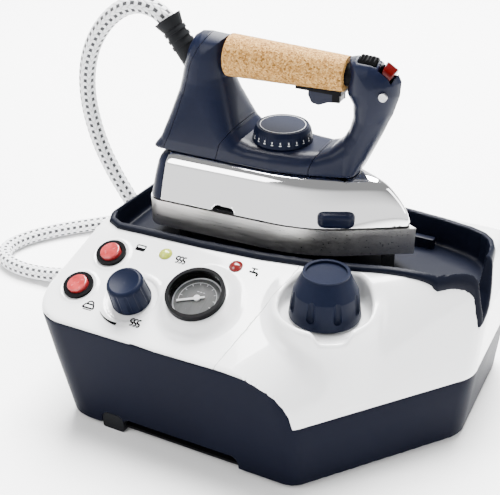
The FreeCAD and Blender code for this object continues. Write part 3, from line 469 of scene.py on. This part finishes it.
# ---------------------------------------------------------------- forms, in millimetres
def smax(a, b, soft):
    """The larger of two distances, with the edge between them rounded."""
    near = np.maximum(soft - np.abs(a - b), 0) / soft
    return np.maximum(a, b) + near * near * soft / 4


def smin(a, b, soft):
    return -smax(-a, -b, soft)


def side_of(x, y, z, normal, point):
    """Distance in front of a plane."""
    n = np.array(normal) / np.linalg.norm(normal)
    return (x - point[0]) * n[0] + (y - point[1]) * n[1] + (z - point[2]) * n[2]


def outline_distance(u, v, corners):
    """Distance outside a closed outline in the plane, negative inside it."""
    nearest = np.full(np.broadcast(u, v).shape, 1e9)
    inside = np.zeros(nearest.shape, bool)
    for (au, av), (bu, bv) in zip(corners, corners[1:] + corners[:1]):
        du, dv = bu - au, bv - av
        share = np.clip(((u - au) * du + (v - av) * dv) / (du * du + dv * dv), 0, 1)
        nearest = np.minimum(nearest, (u - au - share * du) ** 2 + (v - av - share * dv) ** 2)
        if dv:
            crosses = ((v >= av) != (v >= bv)) & (u < au + (v - av) * du / dv)
            inside = inside ^ crosses
    return np.where(inside, -1, 1) * np.sqrt(nearest)


def slope_at(shape, places):
    """Unit normals of a form at some points."""
    slope = np.empty_like(places)
    for k in range(3):
        ahead, behind = places.copy(), places.copy()
        ahead[:, k] += 0.02
        behind[:, k] -= 0.02
        slope[:, k] = shape(*ahead.T) - shape(*behind.T)
    return slope / np.maximum(np.linalg.norm(slope, axis=1, keepdims=True), 1e-9)


# how strongly a corner keeps to the middle of its cell, and how close (as a cosine) a form's own normal
# has to be to the face's before the face is shaded smooth
HOLD, SMOOTH = 0.05, 0.92


def contour(name, shape, low, high, step):
    """Mesh of a form whose distance function is negative inside it, with its sharp edges kept."""
    axes = [np.arange(a, b + step, step) for a, b in zip(low, high)]
    field = np.broadcast_to(shape(*np.ix_(*axes)), [len(a) for a in axes])
    inside = field < 0
    cells = np.array([len(a) for a in axes])
    points, normals, owners, quads = [], [], [], []
    for d in range(3):
        u, v = (d + 1) % 3, (d + 2) % 3
        first = tuple(slice(0, -1) if k == d else slice(None) for k in range(3))
        second = tuple(slice(1, None) if k == d else slice(None) for k in range(3))
        change = inside[first] != inside[second]
        index = np.argwhere(change)
        f0, f1 = field[first][change], field[second][change]
        start = np.stack([axes[k][index[:, k]] for k in range(3)], 1)
        t0, t1 = np.zeros(len(index)), np.ones(len(index))
        for turn in range(7):
            t = t0 + (t1 - t0) * (0.5 if turn % 3 == 2 else np.clip(f0 / (f0 - f1), 0.02, 0.98))
            at = start.copy()
            at[:, d] += t * step
            f = shape(*at.T)
            same = (f < 0) == (f0 < 0)
            t0, f0 = np.where(same, t, t0), np.where(same, f, f0)
            t1, f1 = np.where(same, t1, t), np.where(same, f1, f)
        at = start.copy()
        at[:, d] += (t0 + (t1 - t0) * f0 / (f0 - f1)) * step
        slope = slope_at(shape, at)
        corner = []
        for cu, cv in ((0, 0), (-1, 0), (-1, -1), (0, -1)):
            cell = index.copy()
            cell[:, u] += cu
            cell[:, v] += cv
            corner.append(cell @ np.array([cells[1] * cells[2], cells[2], 1]))
            owners.append(corner[-1])
            points.append(at)
            normals.append(slope)
        quad = np.stack(corner, 1)
        starts_inside = inside[first][change]
        quads.append(np.where(starts_inside[:, None], quad, quad[:, ::-1]))
    owners, points, normals = np.concatenate(owners), np.concatenate(points), np.concatenate(normals)
    used, which = np.unique(owners, return_inverse=True)
    count = np.bincount(which)

    def total(values):
        return np.bincount(which, values, len(used))

    middle = np.stack([total(points[:, k]) / count for k in range(3)], 1)
    reach = np.sum(normals * (points - middle[which]), 1)
    square = np.empty((len(used), 3, 3))
    pull = np.empty((len(used), 3))
    for a in range(3):
        pull[:, a] = total(normals[:, a] * reach)
        for b in range(3):
            square[:, a, b] = total(normals[:, a] * normals[:, b]) + (HOLD if a == b else 0)
    move = np.linalg.solve(square, pull[:, :, None])[:, :, 0]
    cell = np.stack(np.unravel_index(used, cells), 1)
    base = np.stack([axes[k][cell[:, k]] for k in range(3)], 1)
    spots = np.clip(middle + move, base - step / 2, base + step * 1.5)
    mesh = bpy.data.meshes.new(name)
    faces = np.searchsorted(used, np.concatenate(quads))
    mesh.from_pydata((spots / 1000).tolist(), [], faces.tolist())
    mesh.shade_smooth()
    corners = spots[faces]
    flat = np.cross(corners[:, 2] - corners[:, 0], corners[:, 3] - corners[:, 1])
    flat /= np.maximum(np.linalg.norm(flat, axis=1, keepdims=True), 1e-9)
    flat = np.repeat(flat, 4, axis=0)
    smooth = slope_at(shape, spots)[faces].reshape(-1, 3)
    agree = np.sum(flat * smooth, 1, keepdims=True) > SMOOTH
    mesh.normals_split_custom_set(np.where(agree, smooth, flat).tolist())
    return add(name, mesh)


def stand_in(node, shape, low, high, step, body, finish=None):
    """Replace one CAD node by the mesh of a form, in its slot's finish unless another is named."""
    obj = contour(node + "_form", shape, low, high, step)
    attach(obj, body)
    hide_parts(node)
    paint(obj, finish or SLOTS[node])


# ---------------------------------------------------------------- casing
SIN, COS = math.sin(math.radians(23)), math.cos(math.radians(23))
PANEL_FOOT_Y, PANEL_FOOT_Z = -125, 95
# the casing's left, front, right and back walls at four heights
CASE = np.array([(4.0, -143.0, -121.5, 159.5, 120.0), (57.0, -155.5, -123.5, 163.0, 123.0),
                 (106.0, -166.0, -125.0, 163.0, 125.0), (152.0, -150.7, -121.5, 154.2, 114.4)]).T
CORNER_FACE = ((0.741, -0.6125, 0.2756), (63, -124, 58))
CORNER_WALL = ((0.771, -0.637, 0), (63, -123.5, 0))
SPLIT = np.array([(-170, 95), (-100, 95), (-50, 93.5), (5, 94), (26, 93), (34, 90.6),
                  (42, 87), (49, 82.6), (55, 76.5), (59.5, 68.5), (62.5, 58), (200, 58)]).T
CAP, WELL_R, RIM_Z, FLOOR_Z = (57.0, -53.0), 35.0, 125.0, 116.0
SPOUT = (math.sin(math.radians(31)), -math.cos(math.radians(31)))
TRAY = [(-154, -18), (-149, -29.5), (-138, -34.4), (-60, -33), (-10, -30.5), (35, -25.6), (70, -19),
        (105, -11.5), (128, -5.8), (134, -0.1), (138.5, 4.1), (144.6, 8.9), (149, 11.8), (152.6, 14.5),
        (156, 22), (157.5, 44), (155.5, 56), (151, 66), (143, 75), (130, 81.5), (105, 88), (70, 95),
        (35, 101.5), (-10, 106.5), (-60, 109), (-138, 110.4), (-149, 105.5), (-154, 94)]
TRAY_FLOOR_Z, TRAY_UNDER_Z, RIM_WIDTH = 119.5, 116.9, 5.2
LIP_START_X, LIP_DEPTH = 126, 9.0
COVER_WALL, SHELL_WALL, SPLIT_GAP, SEAM_GAP = 4.2, 4.6, 0.2, 0.22
MAINS_X, HOSE_Y, CORD_Z = 45, 54, 30
# the lip from above, with its right end left open, and from the right as (y, z)
LIP_PLAN = [(70, -19), (105, -11.5), (128, -5.8), (134, -0.1), (138.5, 4.1), (144.6, 8.9), (149, 11.8),
            (152.6, 13.1), (155.4, 11.8), (157.9, 10.9), (160, 10.6), (175, 10.6), (175, 90), (70, 90)]
LIP_SIDE = [(-60, 97.2), (11.5, 97.2), (15, 99.4), (21, 106), (29, 117), (34, 125.5), (37, 131.5), (39, 136),
            (41, 141), (44, 170), (-60, 170)]


def panel_plane(x, y, z):
    return (y - PANEL_FOOT_Y) * -SIN + (z - PANEL_FOOT_Z) * COS


def panel_level(y):
    """Height of the panel's surface."""
    return PANEL_FOOT_Z + (y - PANEL_FOOT_Y) * SIN / COS


def top_plane(x, y, z):
    return side_of(x, y, z, (-0.03, 0.055, 1), (0, 0, 141.3))


def casing(x, y, z):
    """Outer form of the whole base."""
    left, front, right, back = (np.interp(z, CASE[0], CASE[k]) for k in (1, 2, 3, 4))
    walls = smax(smax(left - x, front - y, 26), smax(x - right, y - back, 26), 8)
    walls = smax(walls, smax(left - x, y - back, 26), 1)
    corner = smax(side_of(x, y, z, *CORNER_FACE), side_of(x, y, z, *CORNER_WALL), 5)
    panel, top = panel_plane(x, y, z), top_plane(x, y, z)
    behind = side_of(x, y, z, (0, 0.669, 0.743), (0, 108, 131.5))
    form = np.maximum(smax(walls, panel, 4), smax(walls, corner, 7))
    form = np.maximum(form, smax(corner, panel, 30))
    return smax(smax(form, top, 10), behind, 8)


def lip_region(x, y, z):
    """Where the tray runs out over the casing's right corner, and the tray's outer surface."""
    region = np.maximum(outline_distance(x, y, LIP_PLAN), outline_distance(y, z, LIP_SIDE))
    return region, casing(x - 1.0, y, z - 3.4)


def tray_hollow(x, y, z):
    """Space that the tray and its lip take out of the cover."""
    pan = np.maximum(outline_distance(x, y, TRAY) + 2.2, 116.5 - z)
    region, outer = lip_region(x, y, z)
    lip = np.maximum(np.maximum(region - 0.25, -(LIP_DEPTH + 0.4) - outer), LIP_START_X - x)
    return np.minimum(pan, lip)


def split(x, y, z):
    """Positive in the white cover, negative in the lower shell."""
    return np.maximum(z - np.interp(x, *SPLIT), panel_plane(x, y, z) + 1.8)


def cover(x, y, z):
    """The white cover with the collar of the filler, before it is divided at the panel's seam."""
    outer = casing(x, y, z)
    cx, cy = x - CAP[0], y - CAP[1]
    r = np.sqrt(cx * cx + cy * cy)
    collar = smax(r - (39.5 + (RIM_Z - z) * 0.065), z - RIM_Z, 5)
    collar = np.maximum(collar, 70 - z)
    form = smin(outer, collar, 9)
    inner = np.maximum(outer + COVER_WALL, -(r - 38.2))
    form = np.maximum(form, -np.where(z > 112.4, inner, outer + COVER_WALL))
    along, across = cx * SPOUT[0] + cy * SPOUT[1], cx * SPOUT[1] - cy * SPOUT[0]
    slant = np.abs(across) - np.interp(z, (116.5, 128.5), (10, 17))
    notch = smax(smax(slant * 0.86, 116.5 - z, 3), -along, 1)
    beside_tray = -outline_distance(x, y, TRAY) + 1.8
    well = smax(smax(r - WELL_R, FLOOR_Z - z, 5), beside_tray, 2)
    form = smax(form, -smin(well, notch, 2), 3.2)
    form = smax(form, -tray_hollow(x, y, z), 1.2)
    form = np.maximum(form, SPLIT_GAP - split(x, y, z))
    return np.maximum(form, -np.maximum(r - 15, z - 122))


def seam_x(y):
    return np.interp(y, (-127, -30), (-1, 24))


def on_slope(x, y, z, at):
    """Distance from an axis that stands on the panel, and height above the panel."""
    v = (y - at[1]) * COS + (z - panel_level(at[1])) * SIN
    return np.sqrt((x - at[0]) ** 2 + v * v), panel_plane(x, y, z)


GAUGE, KNOB = (-37.0, -78.5), (-90.5, -90.0)
SWITCHES, LAMPS = ((-129.0, -58.0), (-139.0, -92.0)), ((-85.0, -46.0), (-24.0, -41.0))


def control_panel(x, y, z):
    form = np.maximum(cover(x, y, z), x - seam_x(y) + SEAM_GAP)
    r, w = on_slope(x, y, z, GAUGE)
    boss = smax(r - np.interp(w, (-3, 9), (33.5, 26)), w - 9, 5)
    form = smin(form, smax(boss, -w - 2.4, 0.5), 7)
    form = smax(form, 22.3 - r, 2)
    r, w = on_slope(x, y, z, KNOB)
    form = form - np.where(w > -1.4, 0.35 * np.exp(-((r - 23.5) / 1.9) ** 2), 0)
    form = smax(form, -smax(r - 21, -0.8 - w, 1), 1.2)
    form = np.maximum(form, 4.3 - r)
    for at in SWITCHES:
        r, w = on_slope(x, y, z, at)
        form = form - np.where(w > -1.2, 0.8 * np.exp(-((r - 14.8) / 1.3) ** 2), 0)
        form = np.maximum(form, 11 - r)
    for at in LAMPS:
        form = smax(form, 4.2 - on_slope(x, y, z, at)[0], 0.6)
    return form


def upper_shell(x, y, z):
    return np.maximum(cover(x, y, z), seam_x(y) + SEAM_GAP - x)


def lower_shell(x, y, z):
    outer = casing(x, y, z)
    form = np.maximum(outer, -(outer + SHELL_WALL))
    form = np.maximum(form, split(x, y, z) + SPLIT_GAP)
    arch = smax(smax(-86 - x, x - 18, 1), z - 14.5, 9)
    foot = smax(smax(-106 - x, x + 85, 1), z - 16, 9)
    form = smax(form, -np.maximum(np.minimum(arch, foot), y + 114), 1.5)
    hose_hole = np.sqrt((y - HOSE_Y) ** 2 + (z - CORD_Z) ** 2) - 9.2
    mains_hole = np.sqrt((x - MAINS_X) ** 2 + (z - CORD_Z) ** 2) - 8.2
    form = np.maximum(form, -np.maximum(hose_hole, x + 130))
    form = np.maximum(form, -np.maximum(mains_hole, 100 - y))
    return smax(form, 4 - z, 1)


def iron_tray(x, y, z):
    """Pan with a raised rim, whose floor runs out over the lip at its right end, and the guide bar in it."""
    plan = outline_distance(x, y, TRAY)
    region, outer = lip_region(x, y, z)
    pan = np.minimum(smax(plan + 2.6, TRAY_UNDER_Z - z, 6), np.maximum(plan, 0.15 - casing(x, y, z)))
    lip = np.maximum(np.maximum(region, -LIP_DEPTH - outer), LIP_START_X - x)
    form = smax(smin(pan, lip, 3), outer, 2)
    floor = smax(z - TRAY_FLOOR_Z, outer + 2.8, 14)
    space = smax(smin(plan + RIM_WIDTH, np.maximum(region + 4.6, 132 - x), 2), -floor, 4)
    form = smax(form, -space, 2)
    bar = smax(smax(np.abs(x - 90) - 11, np.abs(y - 75) - 3, 1), np.abs(z - 123) - 5.5, 1)
    return np.minimum(form, bar)


stand_in("control_panel", control_panel, (-169, -128, 88), (27, 128, 150), 1.4, "base")
stand_in("upper_shell", upper_shell, (-5, -128, 54), (168, 128, 150), 1.3, "base")
# the lower shell takes the darker navy copy, whose darker colour is painted shade
stand_in("lower_shell", lower_shell, (-169, -128, 1), (168, 128, 104), 1.5, "base", "shell_plastic_painted_shade")
stand_in("iron_tray", iron_tray, (-157, -38, 94), (169, 114, 152), 1.3, "base")


# ---------------------------------------------------------------- iron
IRON_Y = 38.0
CHROME_WALL, HANDLE_WALL, HANDLE_GAP = 3.4, 3.6, 0.25
DIAL_X, DECK_Z = -21.5, 209
# the handle seen from the side, its half width along it and up it, and the seams between its shells
SIDE = [(-127, 150), (-127, 193.4), (-120.5, 203), (-115.5, 222), (-110.5, 244), (-107.5, 262),
        (-104.5, 275), (-99.5, 284.5), (-92.5, 289.8), (-85, 290.8), (-67.6, 289.5), (-67.6, 256),
        (-66, 251), (-61.5, 239), (-57, 226), (-53.5, 217), (-48.5, 211), (-40, 209), (4, 209), (15, 210),
        (24.5, 214.5), (32, 222), (35.8, 230), (37.4, 240), (36.6, 250), (31.7, 258.6), (31.7, 287),
        (39, 289.5), (52, 289), (62, 286.5), (70.5, 281), (75, 273), (74.5, 262), (70, 246), (62, 228),
        (52.5, 208), (45, 193.4), (25, 150)]
WIDTH_BY_X = ((-127, -60, -20, 5, 38, 80), (34.5, 34, 33, 27.5, 17, 15))
WIDTH_BY_Z = ((190, 203, 226, 250, 270, 283, 292, 300), (35, 34, 27.5, 21.5, 18.5, 15.8, 11.5, 8))
SEAM_BACK = ((180, 193, 207, 224, 250, 266, 279, 300), (-116, -116, -109.5, -104.5, -98.5, -95.5, -89, -77))
SEAM_REAR = ((180, 196, 208, 224, 244, 300), (-66, -66, -63, -52, -30, 0))
SEAM_FRONT = ((180, 198, 208, 222, 236, 300), (12, 12, 15, 26, 31.5, 31.5))


def quadratic(z, low, middle, high):
    """Curve through three sizes of the chrome cover, at its foot, half way up and at its top."""
    t = (z - 157) / 18
    bend = (high - 2 * middle + low) / 2
    return low + (middle - low - bend) * t + bend * t * t


def cover_form(x, y, z):
    """Outer form of the chrome cover: two flat sides that meet in a spine at the tip."""
    v = np.sqrt((y - IRON_Y) ** 2 + 16) - 2.5
    tip, shoulder, half = (quadratic(z, *c) for c in ((92.5, 84, 64), (20, 16, 10), (42.4, 37, 31)))
    heel, heel_half = quadratic(z, -122.5, -121.5, -119), quadratic(z, 48, 42, 35)
    back_side = (v - half) + (x - shoulder) * (heel_half - half) / (shoulder - heel)
    slope = half / (tip - shoulder)
    front_side = (v - (tip - x) * slope) / np.sqrt(1 + slope * slope)
    sides = smax(smax(back_side, front_side, 14), heel - x, 16)
    return smax(smax(sides, z - 193, 9), 157 - z, 0.6)


def chrome_cover(x, y, z):
    form = cover_form(x, y, z)
    form = np.maximum(form, -(form + CHROME_WALL))
    form = np.maximum(form, -np.maximum(np.maximum(-100 - x, x - 40),
                                        np.maximum(np.abs(y - IRON_Y) - 16, 189 - z)))
    slot = smax(np.abs(x + 52) - 10, z - 161.5, 6)
    return smax(form, -np.maximum(slot, y - IRON_Y), 1)


def chrome_front(x, y, z):
    return smax(chrome_cover(x, y, z), -108.9 - x, 1)


def chrome_heel(x, y, z):
    return smax(chrome_cover(x, y, z), x + 109.3, 1)


def handle_form(x, y, z):
    side = outline_distance(x, z, SIDE)
    width = smin(np.interp(x, *WIDTH_BY_X), np.interp(z, *WIDTH_BY_Z), 10)
    soft = np.interp(z, (196, 215, 240, 300), (8, 16, 24, 22))
    form = smax(side, np.abs(y - IRON_Y) - width, soft)
    return smax(form, 193.6 - z, 2)


def rod(x, y, z, start, direction, radius):
    """Distance to an endless cylinder."""
    d = np.array(direction) / np.linalg.norm(direction)
    along = (x - start[0]) * d[0] + (y - start[1]) * d[1] + (z - start[2]) * d[2]
    square = (x - start[0]) ** 2 + (y - start[1]) ** 2 + (z - start[2]) ** 2 - along * along
    return np.sqrt(np.maximum(square, 0)) - radius, along


def handle(x, y, z):
    """Hollow handle with the openings for grip, hose, dial, button, slider and screw."""
    outer = handle_form(x, y, z)
    form = np.maximum(outer, -(outer + HANDLE_WALL))
    grip, along = rod(x, y, z, (-82, IRON_Y, 272), (1, 0, 0), 9.2)
    form = np.maximum(form, -np.maximum(grip, np.maximum(-along, along - 128)))
    hose, along = rod(x, y, z, (-91, IRON_Y, 247.6), (-0.6, 0, 0.8), 9.1)
    form = smax(form, -np.maximum(hose, -along), 1.5)
    form = np.maximum(form, -rod(x, y, z, (DIAL_X, IRON_Y, 200), (0, 0, 1), 4.8)[0])
    form = np.maximum(form, -np.maximum(rod(x, y, z, (-83, IRON_Y, 190), (0, 0, 1), 4.5)[0], z - 200))
    button = smax(np.abs(x - 48) - 7.4, np.abs(y - IRON_Y) - 6.4, 1)
    form = smax(form, -np.maximum(button, 270 - z), 1)
    slider = smax(smax(56.8 - x + (z - 272) * 0.064, x - 67.9 - (z - 272) * 0.45, 1),
                  np.abs(y - IRON_Y) - 8.4, 1)
    form = smax(form, -np.maximum(slider, 272 - z), 1)
    screw, along = rod(x, y, z, (65, 10, 264), (0, 1, 0), 3.5)
    form = smax(form, -np.maximum(screw, along - 14.7), 1)
    return np.maximum(form, -np.maximum(screw + 1.9, along - 26))


def part_of_handle(after=None, before=None):
    """One shell of the handle, between two of its seams."""
    def shape(x, y, z):
        form = handle(x, y, z)
        if after:
            form = np.maximum(form, np.interp(z, *after) + HANDLE_GAP - x)
        if before:
            form = np.maximum(form, x - np.interp(z, *before) + HANDLE_GAP)
        return form
    return shape


stand_in("chrome_cover", chrome_front, (-112, -14, 154), (97, 90, 196), 1.2, "iron")
stand_in("heel_plate", chrome_heel, (-126, -14, 154), (-106, 90, 196), 1.2, "iron")
stand_in("handle_back_cover", part_of_handle(before=SEAM_BACK), (-130, 0, 191), (-75, 76, 294), 1.2, "iron")
stand_in("handle_rear", part_of_handle(SEAM_BACK, SEAM_REAR), (-119, 0, 191), (-45, 76, 294), 1.2, "iron")
stand_in("handle_deck", part_of_handle(SEAM_REAR, SEAM_FRONT), (-68, 0, 191), (34, 76, 232), 1.2, "iron")
stand_in("handle_front", part_of_handle(after=SEAM_FRONT), (10, 0, 191), (80, 76, 294), 1.2, "iron")


def steam_button(x, y, z):
    """Ribbed pad that follows the nose."""
    pad = smax(np.abs(x - 48) - 7.0, np.abs(y - IRON_Y) - 6.0, 1.5)
    top = handle_form(x, y, z) - 1.0 - 0.4 * np.cos((x - 48) * 2 * math.pi / 2.8)
    return smax(smax(pad, top, 1), 277 - z, 0.5)


def lock_slider(x, y, z):
    """Red slider that follows the nose."""
    ends = smax(60.2 + (z - 275) * 0.14 - x, x - 67.2 - (z - 275) * 0.5, 1)
    form = smax(smax(ends, np.abs(y - IRON_Y) - 8, 1), handle_form(x, y, z) - 1.2, 1)
    return smax(form, 275 - z, 0.5)


stand_in("steam_button", steam_button, (39, 30, 275), (57, 46, 293), 0.5, "steam_button")
stand_in("lock_slider", lock_slider, (58, 28, 273), (76, 48, 290), 0.6, "lock_slider")

# the trigger's spring, in metres: two closely wound turns of wire that rise to just under the seat above them
SPRING_AT, SPRING_LOW_Z, SPRING_RISE, SPRING_TOP_Z = (0.010, 0.038), 0.25902, 0.00105, 0.2603
SPRING_R, WIRE_R, SPRING_STEPS = 0.0021, 0.00022, 48
coil = []
for i in range(SPRING_STEPS + 1):
    angle = i * math.pi / 12
    coil.append(Vector((SPRING_AT[0] + SPRING_R * math.cos(angle), SPRING_AT[1] + SPRING_R * math.sin(angle),
                        SPRING_LOW_Z + SPRING_RISE * i / SPRING_STEPS)))
spring = tube_mesh("spring_coil", coil, WIRE_R)
paint(spring, SLOTS["trigger_spring"])
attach(spring, "iron")
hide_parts("trigger_spring")
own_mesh(spring)


def side_block(x, y, z):
    """Rounded block on the near side of the chrome cover."""
    turn = math.radians(24)
    u = (x - 39) * math.cos(turn) + (y - 8) * math.sin(turn)
    v = (y - 8) * math.cos(turn) - (x - 39) * math.sin(turn)
    form = smax(smax(np.abs(u) - 14.8, np.abs(v) - 5.9, 6), np.abs(z - 163.8) - 6.5, 5)
    return np.maximum(form, 0.15 - cover_form(x, y, z))


stand_in("side_block", side_block, (20, -8, 155), (58, 24, 173), 0.8, "iron", "navy_plastic")


# ---------------------------------------------------------------- printed marks
def ink(name, colour):
    """Matt print with slightly uneven cover."""
    g = Graph(name)
    speck = g.noise(1200, 3)
    g.set(Base_Color=g.mix(g.grey(speck, 0, 1, 0.3, 0.7), rgb(*colour), rgb(*(c * 1.5 for c in colour))),
          Roughness=g.grey(speck, 0.5, 0.7, 0.3, 0.7), Specular_IOR_Level=0.01)
    g.set(Normal=g.bump(speck, 0.05, 0.00005))
    return g.material


INKS = {"dark_ink": ink("dark_ink", (0.0025, 0.0025, 0.003)),
        "light_ink": ink("light_ink", (0.40, 0.41, 0.42))}


def panel_point(at, across, up, height):
    """Point over the sloping panel, from millimetres to metres."""
    return ((at[0] + across) / 1000, (at[1] + up * COS - height * SIN) / 1000,
            (panel_level(at[1]) + up * SIN + height * COS) / 1000)


def flat_marks(name, shapes, placed, colour, body="base"):
    """Thin printed marks: each shape is a closed outline that placed() lays on a surface."""
    bm = bmesh.new()
    for shape in shapes:
        face = bm.faces.new([bm.verts.new(placed(*point)) for point in shape])
        face.normal_update()
    bmesh.ops.triangulate(bm, faces=bm.faces)
    mesh = bpy.data.meshes.new(name)
    bm.to_mesh(mesh)
    bm.free()
    mesh.materials.append(INKS[colour])
    obj = add(name, mesh)
    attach(obj, body)


def polar(radius, angle, centre=(0, 0)):
    return centre[0] + radius * math.cos(angle), centre[1] + radius * math.sin(angle)


def arc_band(radius, width, start, end, steps=24, centre=(0, 0)):
    """Outline of a curved band, angles in degrees."""
    angles = [math.radians(start + (end - start) * i / steps) for i in range(steps + 1)]
    outer = [polar(radius + width / 2, a, centre) for a in angles]
    inner = [polar(radius - width / 2, a, centre) for a in reversed(angles)]
    return outer + inner


def ring_mark(radius, width):
    """Outlines of the two halves of a ring."""
    return [arc_band(radius, width, 0, 180, 40), arc_band(radius, width, 180, 360, 40)]


def bar_mark(x0, y0, x1, y1, width):
    """Outline of a straight stroke."""
    length = math.hypot(x1 - x0, y1 - y0)
    u, v = -(y1 - y0) / length * width / 2, (x1 - x0) / length * width / 2
    return [(x0 + u, y0 + v), (x0 - u, y0 - v), (x1 - u, y1 - v), (x1 + u, y1 + v)]


def frame_mark(x0, y0, x1, y1, width):
    corners = [(x0, y0), (x1, y0), (x1, y1), (x0, y1), (x0, y0)]
    return [bar_mark(*a, *b, width) for a, b in zip(corners, corners[1:])]


def puffs():
    """Three puffs of steam."""
    strokes = []
    for across in (-2.6, 0, 2.6):
        strokes.append(arc_band(1.5, 1.2, 60, 300, 12, (across, 1.4)))
        strokes.append(arc_band(1.2, 1.1, -120, 120, 10, (across - 0.3, -1.2)))
    return strokes


HALF_SQUARE = frame_mark(-3.4, -2.2, 3.4, 2.2, 1.0) + [[(-3.4, -2.2), (3.4, -2.2), (3.4, 0.2), (-3.4, 0.2)]]
TAP = [[(-3.6, 0.2), (2.2, 0.2), (3.6, -1.2), (3.6, -3.4), (2.0, -3.4), (2.0, -1.4), (-3.6, -1.4)],
       bar_mark(-0.8, 0.2, -0.8, 2.4, 1.2), bar_mark(-3.0, 2.6, 1.6, 2.6, 1.1),
       [(2.3, -4.4), (2.8, -5.6), (3.3, -4.4)]]
IRON_SIGN = [bar_mark(-4.2, -2.4, 4.6, -2.4, 1.3), bar_mark(-4.2, -2.4, -2.6, 0.8, 1.2),
             bar_mark(-2.6, 0.8, 3.4, 0.8, 1.3), bar_mark(3.4, 0.8, 4.6, -2.4, 1.3),
             arc_band(2.4, 1.1, 0, 180, 12, (0.6, 0.9)), bar_mark(-3.0, -3.8, 3.8, -3.8, 0.7)]
ARC = [math.radians(225 + 5 * i) for i in range(10)]
WEDGE = [polar(23.2, a) for a in ARC] + [polar(23.0 - 0.22 * i, a) for i, a in enumerate(ARC)][::-1]
# each sign's strokes, its place on the panel, and its height over the surface
MARK_LIFT, KNOB_MARK_LIFT, SIGN_SCALE = 0.12, 0.45, 1.15
SIGNS = {"power_sign": (HALF_SQUARE, (-108.0, -46.3), MARK_LIFT),
         "ready_sign": (puffs(), (-69.6, -48.0), MARK_LIFT),
         "water_sign": (TAP, (-7.5, -41.6), MARK_LIFT),
         "iron_sign": (IRON_SIGN, (-121.1, -104.8), MARK_LIFT),
         "less_more_sign": ([WEDGE], KNOB, KNOB_MARK_LIFT),
         "steam_sign": (puffs(), (-76.0, -108.5), KNOB_MARK_LIFT)}
for name, (shapes, at, lift) in SIGNS.items():
    flat_marks(name, shapes,
               lambda a, b, at=at, lift=lift: panel_point(at, SIGN_SCALE * a, SIGN_SCALE * b, lift),
               "dark_ink")

GAUGE_FACE = 5.0    # height of the gauge's face over the panel


def on_gauge(a, b):
    return panel_point(GAUGE, a, b, GAUGE_FACE + MARK_LIFT)


scale = [arc_band(15.2, 0.5, -20, 205, 40)]
scale += [bar_mark(*polar(13.0, math.radians(a)), *polar(15.2, math.radians(a)), 0.5)
          for a in range(-20, 206, 25)]
scale += [bar_mark(start, 6.5, end, 6.5, 0.6) for start, end in ((-3, -1.2), (-0.4, 1.2), (2.0, 3.4))]
flat_marks("gauge_marks", scale, on_gauge, "light_ink")
flat_marks("gauge_edge", ring_mark(19.3, 1.0), on_gauge, "light_ink")


def on_dial(a, b):
    """On top of the thermostat's dial."""
    return (DIAL_X + a) / 1000, (IRON_Y + b) / 1000, (DECK_Z + 12.62) / 1000


def on_skirt(a, b):
    """Round the dial's skirt: a is an angle in degrees, b the height above the deck."""
    across, along = polar(24.62 - (b - 0.6) * 0.176, math.radians(a))
    return (DIAL_X + across) / 1000, (IRON_Y + along) / 1000, (DECK_Z + b) / 1000


flat_marks("dial_ring", ring_mark(18.3, 0.45), on_dial, "light_ink", "dial")
symbols = []
for a in range(-150, 11, 16):
    symbols += [[(a - 2.2, 3.4), (a + 2.2, 3.4), (a + 2.2, 4.1), (a - 2.2, 4.1)],
                [(a - 0.9, 4.8), (a + 0.9, 4.8), (a + 0.9, 6.4), (a - 0.9, 6.4)]]
flat_marks("dial_symbols", symbols, on_skirt, "light_ink", "dial")
